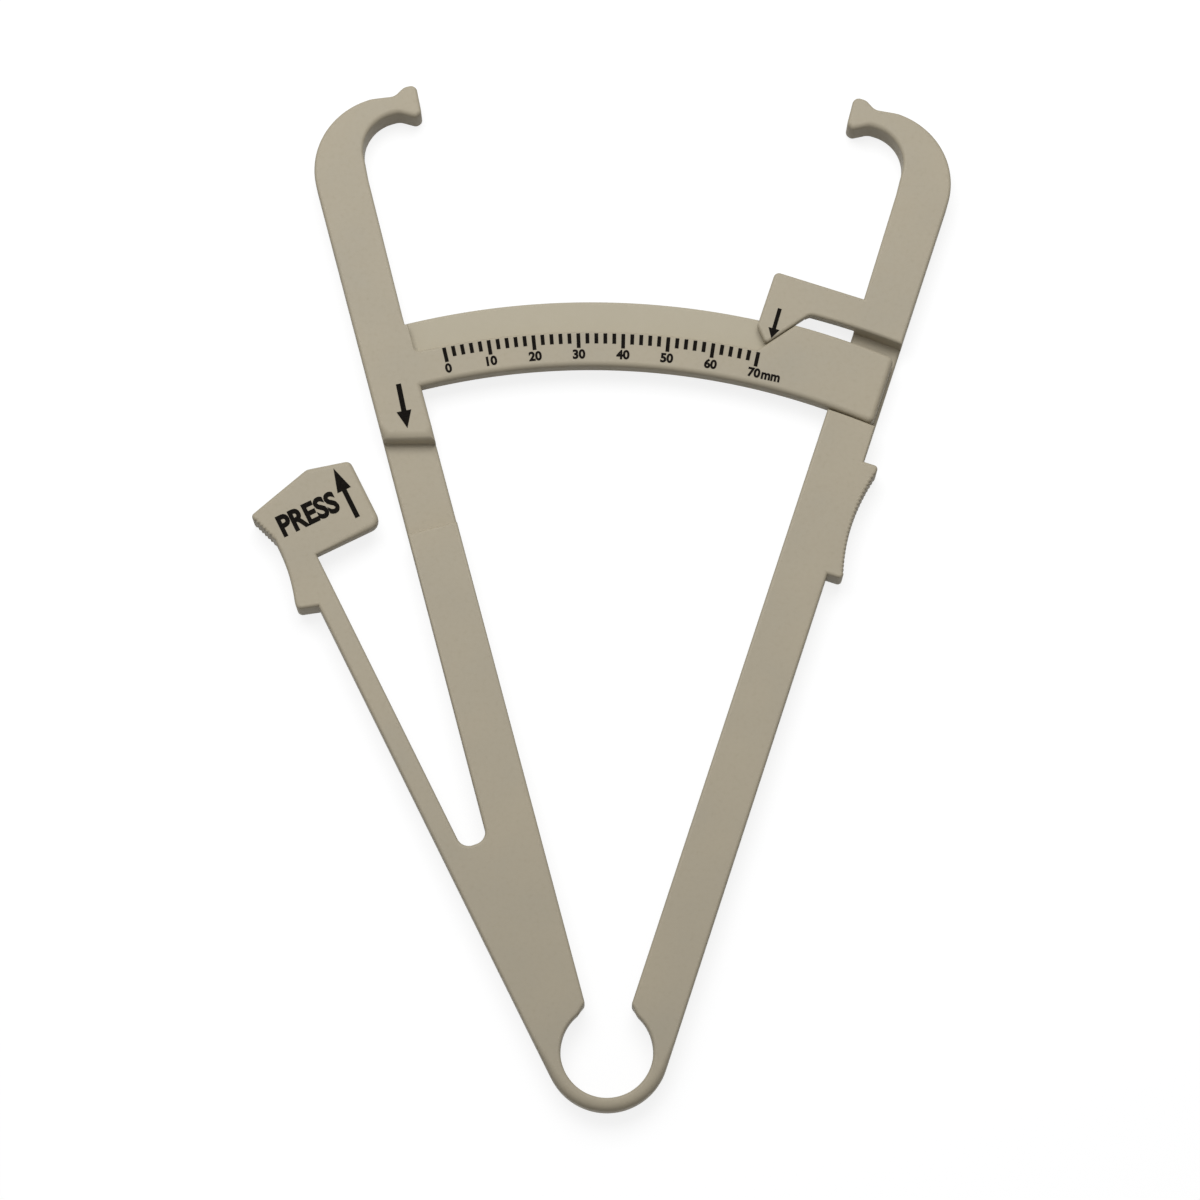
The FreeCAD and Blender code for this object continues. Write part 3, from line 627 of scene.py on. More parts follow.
# %% Scale arm's beam, track and head
add_member("scale_arm_beam", SCALE_SIDE, SCALE_ARM, slab([
    stretch([(-ARM_OUTER, FOOT_TOP)], **JOINED),
    stretch([(-ARM_INNER, FOOT_TOP)]),
    stretch([(-ARM_INNER, TRACK_START)], back=0),
    stretch([(-ARM_OUTER, TRACK_START)]),
]))
add_member("pad_track", SCALE_SIDE, SCALE_ARM, slab([
    stretch([(-ARM_OUTER, TRACK_START)], **JOINED),
    stretch([(-ARM_INNER, TRACK_START)]),
    stretch([step_inner], **JOINED),
    stretch([step_outer]),
], high=TRACK_FLOOR))
add_member("scale_arm_head", SCALE_SIDE, SCALE_ARM, slab([
    stretch([step_outer], back=0, radius=STEP_EDGE),
    stretch([step_inner], radius=STEP_EDGE),
    stretch([step_inner + STEP_FADE]),
    meeting(arc_foot, arc_foot - arc_centre, back=0, radius=SOFT_EDGE),
    stretch([arc_foot], front=0, radius=SOFT_EDGE),
    meeting(arc_top, arc_centre - arc_top, back=0, radius=SHELF_EDGE),
    stretch([arc_top], radius=SHELF_EDGE),
    stretch([arc_top + SHELF_FADE]),
    stretch([(-HEAD_INNER, HOOK_START)], **JOINED),
    stretch([(-ARM_OUTER, HOOK_START)]),
    stretch([step_outer + STEP_FADE]),
]))

# %% [markdown]
# ## Hooks and jaws
# Each arm turns over in a hook and ends in a flared jaw that takes the fold of skin. Both sides
# are the same shape, so it is worked out once for the right arm and mirrored for the left by
# changing the sign of "across". The slab function puts a mirrored outline back in
# counter-clockwise order, so no face turns inside out. The soft hollow on each side of the neck
# crosses the join of hook and jaw, so each takes its share of the hollow's arc. The hook's inner
# rim is its softest edge, because the skin bulges against it.

# %% Points of the hook and the jaw
HOOK_OUTER, HOOK_INNER = 12.8, 6.4
HOOK_TOP = HOOK_START + 1.0 + HOOK_OUTER
INNER_TOP = HOOK_TOP - 3.6
JAW_TOP = HOOK_TOP + 0.65
JAW_BOTTOM = JAW_TOP - 5.25
JAW_ANGLE = 3.74
CROOK_INNER = ARM_INNER - 0.6
face_slope = math.tan(math.radians(JAW_ANGLE))
face_top = np.array([-JAW_TOP * face_slope, JAW_TOP])
face_bottom = np.array([-JAW_BOTTOM * face_slope, JAW_BOTTOM])
flare_top = face_top + (2.1, 0.0)
flare_bottom = np.array([face_top[0] + 1.5, JAW_BOTTOM - 0.5])
neck_top = np.array([flare_top[0] + 1.9, HOOK_TOP - 0.5])
neck_bottom = np.array([neck_top[0], INNER_TOP])
crown = np.array([ARM_OUTER - HOOK_OUTER, HOOK_TOP])
crook = np.array([CROOK_INNER - HOOK_INNER, INNER_TOP])
print("jaw face from", np.round(face_top, 2).tolist(), "to", np.round(face_bottom, 2).tolist())

# %% Outlines of the hook and the jaw
HOOK_EDGE = 0.9
CROWN_ROUND, OVER_ROUND, UNDER_ROUND = 8.0, 2.0, 2.4
FLARE_ROUND, FACE_ROUND, CHIN_ROUND, HEEL_ROUND = 1.8, 1.1, 0.9, 1.0
OVER, UNDER = 2, 7  # the points of the neck's two hollows where hook and jaw join
outer_curve = bow((ARM_OUTER, HOOK_TOP - HOOK_OUTER), crown, HOOK_OUTER, 1, 28)[:-2]
inner_curve = bow(crook, (CROOK_INNER, INNER_TOP - HOOK_INNER), HOOK_INNER, -1, 22)
crown_curve = corner(crown + (1.0, 0.0), crown, neck_top, CROWN_ROUND)
neck_over = corner(crown, neck_top, flare_top, OVER_ROUND)
neck_under = corner(flare_bottom, neck_bottom, crook, UNDER_ROUND)
under_edge = np.linspace(SOFT_EDGE, HOOK_EDGE, len(neck_under))
chin = corner(face_top, face_bottom, flare_bottom, CHIN_ROUND)
hook_outline = [
    stretch([(ARM_OUTER, HOOK_START)]),
    stretch(np.concatenate([outer_curve, crown_curve, neck_over[:OVER]])),
    stretch(neck_over[OVER:OVER + 1], **JOINED),
    stretch(neck_under[UNDER:], radius=under_edge[UNDER:]),
    stretch(inner_curve, radius=np.linspace(HOOK_EDGE, EDGE, len(inner_curve))),
    stretch([(HEAD_INNER, HOOK_START)], **JOINED),
]
jaw_outline = [
    stretch(neck_over[OVER:]),
    stretch(corner(neck_top, flare_top, face_top, FLARE_ROUND)),
    stretch(corner(flare_top, face_top, face_bottom, FACE_ROUND)),
    stretch(chin, radius=np.linspace(EDGE, SOFT_EDGE, len(chin))),
    stretch(corner(face_bottom, flare_bottom, neck_bottom, HEEL_ROUND), radius=SOFT_EDGE),
    stretch(neck_under[:UNDER], radius=under_edge[:UNDER]),
    stretch(neck_under[UNDER:UNDER + 1], radius=under_edge[UNDER], **JOINED),
]


def mirrored(outline):
    """The same outline for the left arm: across changes its sign."""
    return [(points * (-1, 1), *sizes, facing * (-1, 1)) for points, *sizes, facing in outline]


print("points:", sum(len(part[0]) for part in hook_outline), "in the hook and",
      sum(len(part[0]) for part in jaw_outline), "in the jaw")

# %% Hooks and jaws
add_member("right_jaw_hook", POINTER_SIDE, POINTER_ARM, slab(hook_outline))
add_member("right_jaw", POINTER_SIDE, POINTER_ARM, slab(jaw_outline))
add_member("left_jaw_hook", SCALE_SIDE, SCALE_ARM, slab(mirrored(hook_outline)))
add_member("left_jaw", SCALE_SIDE, SCALE_ARM, slab(mirrored(jaw_outline)))

# %% [markdown]
# ## The scale plate
# A curved plate carries the graduations on a proud band, and the pointer's tab slides over a
# recessed strip above it. The step between them could be cut with a Boolean, but two slabs on top
# of each other do the same with clean rims: a thin one for the whole plate, and the band on it.
# The plate's right end and the stop block share a slanted line that the pointer arm's geometry
# fixes, so it is worked out in that arm's frame. The strip is the thinnest part, so its faces get
# the mark for painted light: a lighter, warmer colour that stands in for light shining through.

# %% Stop face
ARC_BACK, STRIP_FRONT = 2.0, 3.1
TIP_ANGLE, TIP_GAP = 5.62, 0.2
TAB_ANGLE, STOP_GAP = 37.3, 0.15
shut_angle = (SCALE_ARM - JAW_ANGLE) * 2 - (SCALE_ARM - TIP_ANGLE)
tip = polar(ARC_LEDGE + ARC_ASIDE * math.sin(math.radians(shut_angle)) + TIP_GAP, TIP_ANGLE)
tab_way = turned((0.0, 1.0), -TAB_ANGLE)
pointer_centre = seen_from(ARC_CENTRE, UPRIGHT, POINTER_ARM)


def ray_to_circle(start, way, radius, centre=HINGE):
    """Where a ray meets a circle: the larger root t of |start + t way - centre| = radius."""
    offset = np.asarray(start, float) - centre
    toward = offset @ way
    return start + way * (math.sqrt(toward**2 + radius**2 - offset @ offset) - toward)


beside_tip = tip + STOP_GAP * turned((1.0, 0.0), -TAB_ANGLE)
stop_ledge = ray_to_circle(beside_tip, tab_way, ARC_LEDGE, pointer_centre)
stop_rim = ray_to_circle(beside_tip, tab_way, STRIP_OUTER, pointer_centre)
stop_low = pointer_centre + (stop_ledge - pointer_centre) * ARC_INNER / ARC_LEDGE
print("tip:", np.round(tip, 2).tolist(), "stop face from", np.round(stop_ledge, 2).tolist(),
      "to", np.round(stop_rim, 2).tolist())

# %% Scale plate
ARC_STEPS = 72
SHELF_ROUND = 0.7
stop_line = [stop_low, stop_ledge, stop_rim]
plate_low, plate_ledge, plate_rim = seen_from(stop_line, POINTER_ARM, SCALE_ARM)
shelf_right = 0.5 - ARM_INNER
ledge_end = on_circle(shelf_right + 1.5, ARC_LEDGE, arc_centre)
ledge_left = on_circle(shelf_right, ARC_LEDGE, arc_centre)
shelf_top = on_circle(shelf_right, SHELF_OUTER, arc_centre)
strip_top = on_circle(-ARM_INNER, STRIP_OUTER, arc_centre)
low_edge = sweep(arc_centre, arc_foot, plate_low, ARC_STEPS)
ledge_edge = sweep(arc_centre, plate_ledge, ledge_end, ARC_STEPS)
ledge_corner = corner(ledge_end, ledge_left, shelf_top, SHELF_ROUND)
whole_plate = [
    stretch(low_edge[:-1], front=0),
    stretch([plate_low, plate_ledge], **JOINED),
    stretch(sweep(arc_centre, plate_rim, strip_top, ARC_STEPS)[:-1]),
    stretch([strip_top], **JOINED),
]
proud_band = [
    stretch(low_edge[:-1], back=0, radius=SOFT_EDGE),
    stretch([plate_low], radius=SOFT_EDGE, **JOINED),
    stretch(ledge_edge[:-1], back=0),
    stretch(ledge_corner, back=0, radius=SHELF_EDGE),
    stretch([shelf_top], back=0, radius=SHELF_EDGE),
    stretch([arc_top], radius=SHELF_EDGE, **JOINED),
]
plate = add_member("scale_arc", SCALE_SIDE, SCALE_ARM,
                   slab(whole_plate, ARC_BACK, STRIP_FRONT), slab(proud_band, low=STRIP_FRONT)).data

# %% Mark the strip where light is painted
FACES_UP = 0.3      # a normal's least height on the strip: its flat face and its rim, not its walls
centres, normals = np.empty((2, len(plate.polygons) * 3))
plate.polygons.foreach_get("center", centres)
plate.polygons.foreach_get("normal", normals)
# Painted light: the strip's upward faces get the mark for the lighter colour of light shining
# through.
painted_light_faces = (centres[2::3] < STRIP_FRONT * MM + SAME_PLACE) & (normals[2::3] > FACES_UP)
plate.attributes.new(PAINTED_LIGHT_MARK, "FLOAT", "FACE").data.foreach_set("value", painted_light_faces.astype(np.float32))
print("faces marked as thin:", int(painted_light_faces.sum()))

# %% [markdown]
# ## The stop block
# At its end the plate thickens into a block. The jaws spring open until the pointer's tab meets
# the block's slanted face, so the arms can't spread any further. Its free end is well rounded,
# because fingers slide along the pointer arm past it.

# %% Stop block
BLOCK_EDGE = 0.9
LOW_ROUND, RIM_ROUND = 1.1, 1.0
BLOCK_STEPS = 24
block_end = ARM_OUTER - 0.5
block_low_end = on_circle(block_end, ARC_INNER, pointer_centre)
block_rim_end = on_circle(block_end, STRIP_OUTER, pointer_centre)
low_corner = on_circle(block_end - 2.0, ARC_INNER, pointer_centre)
rim_corner = on_circle(block_end - 1.5, STRIP_OUTER, pointer_centre)
low_run = sweep(pointer_centre, stop_low, low_corner, BLOCK_STEPS)
rim_run = sweep(pointer_centre, rim_corner, stop_rim, BLOCK_STEPS)
low_turn = corner(low_corner, block_low_end, block_rim_end, LOW_ROUND)
rim_turn = corner(block_low_end, block_rim_end, rim_corner, RIM_ROUND)
add_member("arc_end_block", SCALE_SIDE, POINTER_ARM, slab([
    stretch(low_run, radius=SOFT_EDGE),
    stretch(low_turn, radius=BLOCK_EDGE),
    stretch(rim_turn, radius=np.linspace(BLOCK_EDGE, EDGE, len(rim_turn))),
    stretch(rim_run[:-1]),
    stretch([stop_rim], back=0),
    meeting(stop_ledge, pointer_centre - stop_ledge, back=0),
    stretch([stop_ledge], **JOINED),
], low=ARC_BACK))

# %% [markdown]
# ## The pointer arm
# The other arm mirrors the first, but the scale plate has to pass through it. A curved channel is
# sunk into its front: only a thin web joins the beam below with the head above. The web's ends are
# arcs about the hinge. Beam, web and head take the same points for them and fit without a crack.

# %% Places on the pointer arm
POINTER_FOOT_TOP = 14.0
CHANNEL_FLOOR = 1.6
CHANNEL_STEPS = 12
drift = ARC_ASIDE * math.sin(math.radians(SCALE_ARM))
CHANNEL_LOW = ARC_INNER - drift - 0.45
CHANNEL_HIGH = STRIP_OUTER - drift + 2.55
REST_HIGH = CHANNEL_LOW - 6.75
REST_LOW = REST_HIGH - 20.0
TAB_TOP = CHANNEL_HIGH + 5.2


def across_arm(radius):
    """An arc about the hinge across the whole pointer arm, from the outer to the inner edge."""
    return sweep(HINGE, on_circle(ARM_OUTER, radius), on_circle(ARM_INNER, radius), CHANNEL_STEPS)


channel_low, channel_high = across_arm(CHANNEL_LOW), across_arm(CHANNEL_HIGH)
bore_end, outside_end = seen_from([bore_right, outside_right], UPRIGHT, POINTER_ARM)
foot_corner = np.array([ARM_OUTER, POINTER_FOOT_TOP])
print("channel from", round(CHANNEL_LOW, 2), "to", round(CHANNEL_HIGH, 2), "mm from the hinge")

# %% Pointer arm
add_member("pointer_arm_foot", POINTER_SIDE, POINTER_ARM, slab([
    lip_and_bore(1, bore_end),
    stretch([bore_end], **JOINED),
    ring_side(outside_end, foot_corner, POINTER_ARM),
    stretch([foot_corner], **JOINED),
    stretch([(ARM_INNER, POINTER_FOOT_TOP)]),
]))
add_member("pointer_arm_beam", POINTER_SIDE, POINTER_ARM, slab([
    stretch([(ARM_INNER, POINTER_FOOT_TOP)], **JOINED),
    stretch([foot_corner]),
    meeting((ARM_OUTER, REST_LOW), (0.0, 1.0)),
    stretch([(ARM_OUTER, REST_LOW)], **JOINED),
    meeting((ARM_OUTER, REST_HIGH), (0.0, -1.0)),
    stretch([(ARM_OUTER, REST_HIGH)]),
    stretch(channel_low[:-1], back=0),
    stretch(channel_low[-1:]),
]))
add_member("arc_channel", POINTER_SIDE, POINTER_ARM, slab([
    stretch(channel_low[::-1][:-1], **JOINED),
    stretch(channel_low[:1]),
    stretch(channel_high[:-1], **JOINED),
    stretch(channel_high[-1:]),
], high=CHANNEL_FLOOR))
add_member("pointer_arm_head", POINTER_SIDE, POINTER_ARM, slab([
    stretch(channel_high[::-1][:-1], back=0),
    stretch(channel_high[:1]),
    stretch([(ARM_OUTER, HOOK_START)], **JOINED),
    stretch([(HEAD_INNER, HOOK_START)]),
    meeting((ARM_INNER, TAB_TOP), (0.0, -1.0), back=0),
    stretch([(ARM_INNER, TAB_TOP)], front=0),
]))

# %% [markdown]
# ## The pointer's tab
# A thin flag hangs from the head over the recessed strip, and its point reads the scale. The
# rounded rim draws a light line round the point. The inside corner over the block is a soft
# hollow, as a mould needs it. Beyond the strip's edge nothing slides below the flag, so its root
# is thicker there: a second slab below the first, whose lower side is the same arc about the
# hinge.

# %% Pointer tab
TAB_BACK = 3.4
ROOT_BACK = 2.5
TIP_ROUND, SHOULDER_ROUND, CORNER_ROUND, CROOK_ROUND = 0.6, 0.7, 0.9, 1.8
tab_root = (ARM_INNER, TAB_TOP)
tab_free = tip[0] - 2.25
shoulder = np.array([tab_free, tip[1] + 2.6])
tab_corner = np.array([tab_free, TAB_TOP])
tab_crook = ray_to_circle(tip, tab_way, CHANNEL_HIGH)
window_start = on_circle(tab_crook[0] + 1.6, CHANNEL_HIGH)
crook_curve = corner(tip, tab_crook, window_start, CROOK_ROUND)
root_corner = on_circle(tab_free, CHANNEL_HIGH)
root_low = sweep(HINGE, on_circle(tab_free + 1.0, CHANNEL_HIGH), channel_high[-1], 16)
window_top = sweep(HINGE, window_start, channel_high[-1], 12)
root_slab = slab([
    stretch(corner(tab_corner, root_corner, root_low[0], SHOULDER_ROUND), front=0),
    stretch(root_low[:-1], front=0),
    stretch(channel_high[-1:], **JOINED),
    stretch([tab_root], front=0),
    stretch(corner(tab_root, tab_corner, root_corner, CORNER_ROUND), front=0),
], ROOT_BACK, TAB_BACK)
add_member("pointer_tab", POINTER_SIDE, POINTER_ARM, root_slab, slab([
    stretch(corner(shoulder, tip, tab_crook, TIP_ROUND)),
    meeting(crook_curve[0], -tab_way, back=0),
    stretch(crook_curve, back=0),
    stretch(window_top[:-1], back=0),
    stretch(channel_high[-1:], **JOINED),
    stretch([tab_root], back=0),
    stretch(corner(tab_root, tab_corner, shoulder, CORNER_ROUND), back=0),
    meeting(root_corner, (0.0, 1.0), back=0),
    stretch([root_corner]),
    stretch(corner(tab_corner, shoulder, tip, SHOULDER_ROUND)),
], low=TAB_BACK))

# %% [markdown]
# ## Ribs for the finger
# The rests for finger and thumb are hollowed, and fine ribs keep them from slipping. A Displace
# modifier would need a very dense mesh. Ribs are a wave in the outline instead: each point of the
# hollow arc moves inwards by half the depth times (1 - cos) of its distance along the arc, eight
# points to a rib.

# %% Ribs and hollows
RIB_PITCH, RIB_DEPTH, RIB_POINTS = 0.7, 0.16, 8


def ribbed(points_at, length, inward):
    """A line with ribs: points_at(share) is the plain line, and inward points into the plastic."""
    ribs = round(length / RIB_PITCH)
    share = np.arange(ribs * RIB_POINTS + 1) / (ribs * RIB_POINTS)
    wave = RIB_DEPTH / 2 * (1 - np.cos(2 * math.pi * share * ribs))
    return points_at(share) + np.asarray(inward) * wave[:, None]


def hollow(share, start, end, depth):
    """A shallow hollow between two points: the straight line moved across by a parabola."""
    line = np.asarray(start) + (np.asarray(end) - start) * share[:, None]
    return line - np.stack([4 * depth * share * (1 - share), share * 0], axis=1)


print("ribs every", RIB_PITCH, "mm,", RIB_DEPTH, "mm deep")

# %% Finger rest
FINGER_REACH = ARM_OUTER + 2.5
FINGER_HOLLOW = 1.2
GRIP_LOW, GRIP_HIGH = 0.9, 18.7
REST_ROUND = 0.65
finger_low, finger_high = np.array([(FINGER_REACH, REST_LOW), (FINGER_REACH, REST_HIGH)])


def finger_line(share):
    """The finger's hollow between the two blunt ends."""
    start, end = finger_low + (0.0, GRIP_LOW), finger_low + (0.0, GRIP_HIGH)
    return hollow(share, start, end, FINGER_HOLLOW)


ribs = ribbed(finger_line, GRIP_HIGH - GRIP_LOW, (-1.0, 0.0))
add_member("finger_rest", POINTER_SIDE, POINTER_ARM, slab([
    stretch([(ARM_OUTER, REST_LOW)]),
    stretch(corner((ARM_OUTER, REST_LOW), finger_low, ribs[0], REST_ROUND)),
    stretch(ribs, facing=(-1.0, 0.0)),
    stretch(corner(ribs[-1], finger_high, (ARM_OUTER, REST_HIGH), REST_ROUND)),
    stretch([(ARM_OUTER, REST_HIGH)], **JOINED),
]))

# %% [markdown]
# ## The press lever
# A thin beam, the pad that slides over the track, and the thumb's rest. The beam bends at its root
# when the pad is pressed in, so over its first nine millimetres its long sides have extra points
# to bend at.

# %% Lever beam
PAD_LOW = 92.886
PAD_BACK = 2.5
THUMB_LOW = PAD_LOW - 7.9
BEND_END = 50.0
BEND_POINTS = 15
BEAM_MIDDLE = -7.9
bend = np.linspace(LEVER_ROOT, BEND_END, BEND_POINTS)
right_side = np.column_stack([np.full(BEND_POINTS, -LEVER_INNER), bend])
left_side = np.column_stack([np.full(BEND_POINTS, -LEVER_OUTER), bend[::-1]])
lever_beam = add_member("lever_beam", None, LEVER, slab([
    stretch(right_side),
    stretch([(-LEVER_INNER, PAD_LOW)], front=0),
    stretch([(-LEVER_OUTER, PAD_LOW)], **JOINED),
    meeting((-LEVER_OUTER, THUMB_LOW), (0.0, 1.0)),
    stretch([(-LEVER_OUTER, THUMB_LOW)]),
    stretch(left_side[:-1]),
    stretch(left_side[-1:], **JOINED),
]))
bend_start, bend_end = turned([(BEAM_MIDDLE, LEVER_ROOT), (BEAM_MIDDLE, BEND_END)], LEVER) * MM
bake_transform(lever_beam)

# %% Press pad
PAD_RIGHT = 5.467
PAD_ROUND, HIGH_ROUND, PEAK_ROUND = 1.8, 1.1, 2.0
pad_low = (PAD_RIGHT, PAD_LOW)
pad_high = np.array([PAD_RIGHT, 104.865])
pad_peak = np.array([-1.533, 106.689])
pad_join = np.array([-LEVER_OUTER, 104.509])
add_member("press_pad", PRESS_LEVER, LEVER, slab([
    stretch([(-LEVER_OUTER, PAD_LOW)], **JOINED),
    meeting((-LEVER_INNER, PAD_LOW), (-1.0, 0.0), back=0),
    stretch([(-LEVER_INNER, PAD_LOW)]),
    stretch(corner((0.0, PAD_LOW), pad_low, pad_high, PAD_ROUND), radius=SOFT_EDGE),
    stretch(corner(pad_low, pad_high, pad_peak, HIGH_ROUND), radius=SOFT_EDGE),
    stretch(corner(pad_high, pad_peak, pad_join, PEAK_ROUND), radius=SOFT_EDGE),
    stretch([pad_join], **JOINED),
], low=PAD_BACK))

# %% [markdown]
# ## The thumb's rest
# Its upper third is straight and ribbed. After a small notch the lower part is a smooth hollow
# that ends in a rounded lug. The hollow is a power curve, flat at the notch and steeper towards
# the lug.

# %% Thumb rest
THUMB_REACH = LEVER_OUTER + 3.5
NOTCH = np.array([-11.4, 98.6])
LUG_ROUND = 0.9
thumb_high = np.array([-THUMB_REACH, 103.565])
thumb_corner = corner(pad_join, thumb_high, NOTCH, REST_ROUND)
rib_start, rib_end = thumb_corner[-1] + (0.05, -0.2), NOTCH + (-0.05, 0.1)
rib_inward = (0.95, 0.3)


def thumb_line(share):
    """The straight ribbed stretch, from the upper corner down to the notch."""
    return rib_start + (rib_end - rib_start) * share[:, None]


ribs = ribbed(thumb_line, math.dist(rib_start, rib_end), rib_inward)
fall = np.linspace(0, 0.92, 24)
thumb_hollow = np.stack([-11.2 - 1.85 * fall**2.2, 98.2 - 11.7 * fall], axis=1)
lug = (0.1 - THUMB_REACH, THUMB_LOW + 1.1)
thumb_lug = corner(thumb_hollow[-1], lug, (-LEVER_OUTER, THUMB_LOW), LUG_ROUND)
add_member("thumb_rest", PRESS_LEVER, LEVER, slab([
    stretch([(-LEVER_OUTER, THUMB_LOW), (-LEVER_OUTER, THUMB_LOW + 0.01)], **JOINED),
    meeting((-LEVER_OUTER, PAD_LOW), (0.0, -1.0), front=0),
    stretch([(-LEVER_OUTER, PAD_LOW)], front=0),
    stretch([pad_join]),
    stretch(thumb_corner),
    stretch(ribs, facing=rib_inward),
    stretch(thumb_hollow),
    stretch(thumb_lug),
]))

# %% [markdown]
# ## Ink
# Ticks and arrows are pad-printed in black. The ink lies on the plastic as a film of a few
# hundredths of a millimetre: not quite black, flat, and slightly uneven. The CAD model already has
# these shapes, so they keep their own meshes and only get this finish.

# %% Ink for ticks and arrows
INK_DARK = linear(14, 12, 11)
INK_THIN = linear(32, 29, 25)
INK_GRAIN = 0.3
INK_GLOSS = 0.02


def make_ink():
    """Near black, thinner in small spots, with hardly any gloss."""
    finish = Finish("printing_ink")
    grain = finish.noise(finish.place(), INK_GRAIN, 3.0)
    tone = finish.mix(grain ** 3 * 3.0, INK_DARK, INK_THIN)
    return finish.skin(tone, grain * 0.2 + 0.5, INK_GLOSS, grain)


ink = make_ink()
for name in ("scale_ticks", "arm_arrow", "pointer_arrow", "press_arrow"):
    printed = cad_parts[name]
    if not printed.material_slots:
        printed.data.materials.append(ink)
    for holder in printed.material_slots:
        holder.material = ink
print("ink on the printed nodes")

# %% [markdown]
# ## Numbers
# Every long graduation has its reading below it, and the pad says what to do with it. The
# lettering is as plain as it gets: Blender's own font, made a little bolder. A text object is
# turned into a mesh first, then its box is fitted to the place on the tool, and the mesh is laid
# in the arm's frame like everything else.

# %% Lettering
INK_HEIGHT = 0.05


def text_mesh(name, words, weight):
    """Words as a mesh one unit thick, from Blender's own font. weight makes the strokes bolder."""
    curve = bpy.data.curves.new(name, "FONT")
    curve.body, curve.offset = words, weight
    curve.extrude, curve.resolution_u = 0.5, 4
    written = add_object(name, curve)
    seen = written.evaluated_get(bpy.context.evaluated_depsgraph_get())
    mesh = bpy.data.meshes.new_from_object(seen)
    bpy.data.objects.remove(written)
    return mesh


def lettering(name, words, body, lean, centre, size, weight):
    """Words as a film of ink in the frame that leans this way, in mm: centre is the middle of its
    box, and size its width, or None for the font's own, and its height. Gives the width."""
    mesh = text_mesh(name, words, weight)
    places = np.empty(len(mesh.vertices) * 3)
    mesh.vertices.foreach_get("co", places)
    places = places.reshape(-1, 3)
    low, high = places.min(axis=0), places.max(axis=0)
    tall = size[1] / (high[1] - low[1])
    wide = tall if size[0] is None else size[0] / (high[0] - low[0])
    flat = (places[:, :2] - (low[:2] + high[:2]) / 2) * (wide, tall) + centre
    height = THICKNESS + (places[:, 2] - low[2]) * INK_HEIGHT
    mesh.vertices.foreach_set("co", (np.column_stack([turned(flat, lean), height]) * MM).ravel())
    mesh.update()
    piece = add_object(name, mesh)
    piece.data.materials.clear()
    piece.data.materials.append(ink)
    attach(piece, body)
    return (high[0] - low[0]) * wide


print("ink", INK_HEIGHT, "mm thick")

# %% Readings, unit and word
BOLD, BOLDER = 0.038, 0.042
NUMERAL_HEIGHT = 1.65
NUMERAL_FOOT = 4.4      # from the outer end of a graduation down to the foot of its number
TICK_INSET = 0.4        # from the ledge down to the outer ends of the graduations
UNIT_SIZE, UNIT_SPACE = (3.1, 1.2), 0.2
WORD_MIDDLE, WORD_SIZE = (-4.5, 99.65), (10.3, 3.85)
JAW_RADIUS = JAW_BOTTOM / math.cos(math.radians(JAW_ANGLE))


def graduation(reading):
    """The angle of a graduation from upright, and its outer end's distance from the hinge. Jaws at
    this radius open by 2 radius sin(angle / 2), and the ends lie on an arc beside the hinge."""
    angle = 2 * math.degrees(math.asin(reading / (2 * JAW_RADIUS))) - shut_angle
    aside = ARC_ASIDE * math.sin(math.radians(angle))
    reach = math.sqrt(aside**2 + (ARC_LEDGE - TICK_INSET)**2 - ARC_ASIDE**2) - aside
    return angle, reach


for reading in range(0, 71, 10):
    angle, tick_end = graduation(reading)
    foot = tick_end - NUMERAL_FOOT
    width = lettering(f"numeral_{reading}", str(reading), SCALE_SIDE, -angle,
                      (0.0, foot + NUMERAL_HEIGHT / 2), (None, NUMERAL_HEIGHT), BOLDER)
    print(reading, "at", round(angle, 2), "degrees,", round(width, 2), "mm wide")
# The unit follows the last number, on the same line.
unit_middle = (width / 2 + UNIT_SPACE + UNIT_SIZE[0] / 2, foot + UNIT_SIZE[1] / 2)
lettering("unit_mm", "mm", SCALE_SIDE, -angle, unit_middle, UNIT_SIZE, BOLD)
lettering("press_word", "PRESS", PRESS_LEVER, LEVER, WORD_MIDDLE, WORD_SIZE, BOLD)

# %% [markdown]
# ## Floor
# The tool lies on a white sheet. A sheet that is lit like the tool would turn grey towards the rim
# of the picture. So what the camera sees of it is mostly a glow, which rises to full white further
# out, and a weaker diffuse surface, which takes the tool's soft shadow. For all other rays it is a
# warm dark grey, as a wooden table in a room is, so the undersides of the rims don't wash out.

# %% Floor
FLOOR_SIZE = 3.0
FLOOR_HEIGHT = -0.1 * MM
WHITE = (1.0, 1.0, 1.0, 1.0)
SHEET, TABLE = (0.25, 0.255, 0.265, 1.0), (0.17, 0.145, 0.105, 1.0)
NEAR, FAR = 0.15, 0.6       # metres from the hinge
GLOW_NEAR = (0.82, 0.82, 0.82, 1.0)


def make_floor_finish():
    """For the camera a glow and a weaker diffuse white, for every other ray a warm dark grey."""
    finish = Finish("studio_floor")
    place = finish.place()
    distance = finish.node("ShaderNodeVectorMath", {"operation": "LENGTH"}, {0: place}, "Value")
    outwards = finish.node("ShaderNodeMapRange", {"interpolation_type": "SMOOTHSTEP"}, {
        "Value": distance, "From Min": NEAR, "From Max": FAR})
    white = finish.node("ShaderNodeBsdfDiffuse", {}, {"Color": SHEET})
    bright = finish.mix(outwards, GLOW_NEAR, WHITE)
    glow = finish.node("ShaderNodeEmission", {}, {"Color": bright, "Strength": 1.0})
    shown = finish.node("ShaderNodeAddShader", {}, {0: white, 1: glow})
    grey = finish.node("ShaderNodeBsdfDiffuse", {}, {"Color": TABLE})
    seen = finish.sees_background()
    shader = finish.node("ShaderNodeMixShader", {}, {0: seen, 1: grey, 2: shown})
    finish.node("ShaderNodeOutputMaterial", {}, {"Surface": shader})
    return finish.material


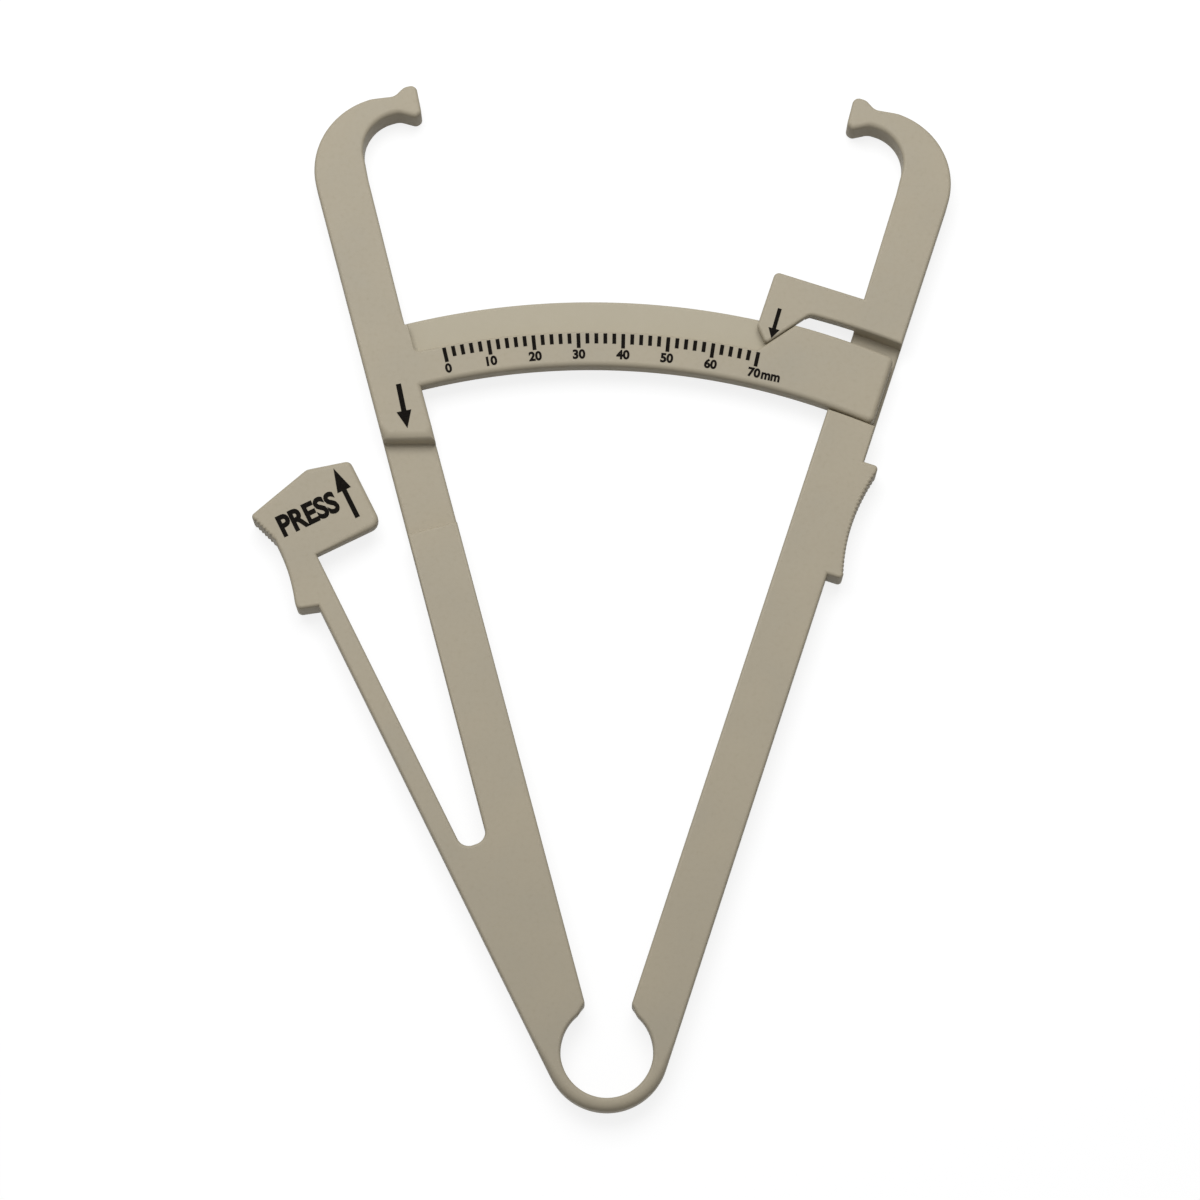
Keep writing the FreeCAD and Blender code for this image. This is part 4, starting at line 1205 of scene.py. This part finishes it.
floor_mesh = bpy.data.meshes.new("floor")
square = np.array([(-1, -1), (1, -1), (1, 1), (-1, 1)]) * FLOOR_SIZE / 2
corners = np.column_stack([square, np.full(4, FLOOR_HEIGHT)])
floor_mesh.from_pydata(corners.tolist(), [], [[0, 1, 2, 3]])
floor = add_object("floor", floor_mesh)
floor_mesh.materials.append(make_floor_finish())
print("floor", FLOOR_SIZE, "m square")

# %% [markdown]
# ## Light
# A soft lamp stands beyond the jaws and shines down on the tool, so the walls that face the jaws
# are bright and those that face the ring are dark. The world fills the shadows with even, slightly
# warm light. Both together bring a surface that faces up to about the brightness of its own
# colour.

# %% Lamp
LAMP_SPOT = np.array([-0.06, 0.33, 0.46])
LAMP_TARGET = np.array([0.0, 0.09, 0.0])
LAMP_SIZE = (0.5, 0.34)
LAMP_POWER = 2.12
LAMP_COLOUR = (1.0, 0.985, 0.96)


def aim(thing, spot, target, up):
    """Put a lamp or camera at spot, looking at target: its axes are right, up and backwards."""
    forward = unit(target - spot)
    right = unit(np.cross(forward, up))
    turn = np.column_stack([right, np.cross(right, forward), -forward])
    thing.matrix_world = Matrix.Translation(spot) @ Matrix(turn.tolist()).to_4x4()


lamp_data = bpy.data.lights.new("key_lamp", "AREA")
lamp_data.shape = "RECTANGLE"
lamp_data.size, lamp_data.size_y = LAMP_SIZE
lamp_data.energy, lamp_data.color = LAMP_POWER, LAMP_COLOUR
aim(add_object("key_lamp", lamp_data), LAMP_SPOT, LAMP_TARGET, (0.0, 0.0, 1.0))
print("lamp", round(math.dist(LAMP_SPOT, LAMP_TARGET), 2), "m away")

# %% World
ROOM_COLOUR, ROOM_STRENGTH = (1.0, 0.975, 0.94, 1.0), 0.305
studio = Finish("studio", "worlds")
room = studio.node("ShaderNodeBackground", {}, {"Color": ROOM_COLOUR, "Strength": ROOM_STRENGTH})
backdrop = studio.node("ShaderNodeBackground", {}, {"Color": WHITE, "Strength": 1.0})
light = studio.node("ShaderNodeMixShader", {}, {0: studio.sees_background(), 1: room, 2: backdrop})
studio.node("ShaderNodeOutputWorld", {}, {"Surface": light})
bpy.context.scene.world = studio.material
print("room light", ROOM_STRENGTH)

# %% [markdown]
# ## Camera
# The tool is seen from above, from a little below its ring, so that the walls facing the ring just
# show. The long lens stands over half a metre away. The target is the middle of the tool on its
# front face.

# %% Camera
CAMERA_SPOT = np.array([0.953, -67.909, 569.130]) * MM
CAMERA_TARGET = np.array([-3.232, 72.682, 5.0]) * MM
CAMERA_UP = (-0.02887, 0.96987, 0.24192)
SENSOR, LENS = 36.0, 108.0
camera_data = bpy.data.cameras.new("camera")
camera_data.sensor_width, camera_data.lens = SENSOR, LENS
camera_data.clip_start, camera_data.clip_end = 0.01, 20.0
camera = add_object("camera", camera_data)
aim(camera, CAMERA_SPOT, CAMERA_TARGET, CAMERA_UP)
bpy.context.scene.camera = camera
bpy.context.scene.view_settings.view_transform = "Standard"
print("camera", round(math.dist(CAMERA_SPOT, CAMERA_TARGET), 3), "m from the tool")
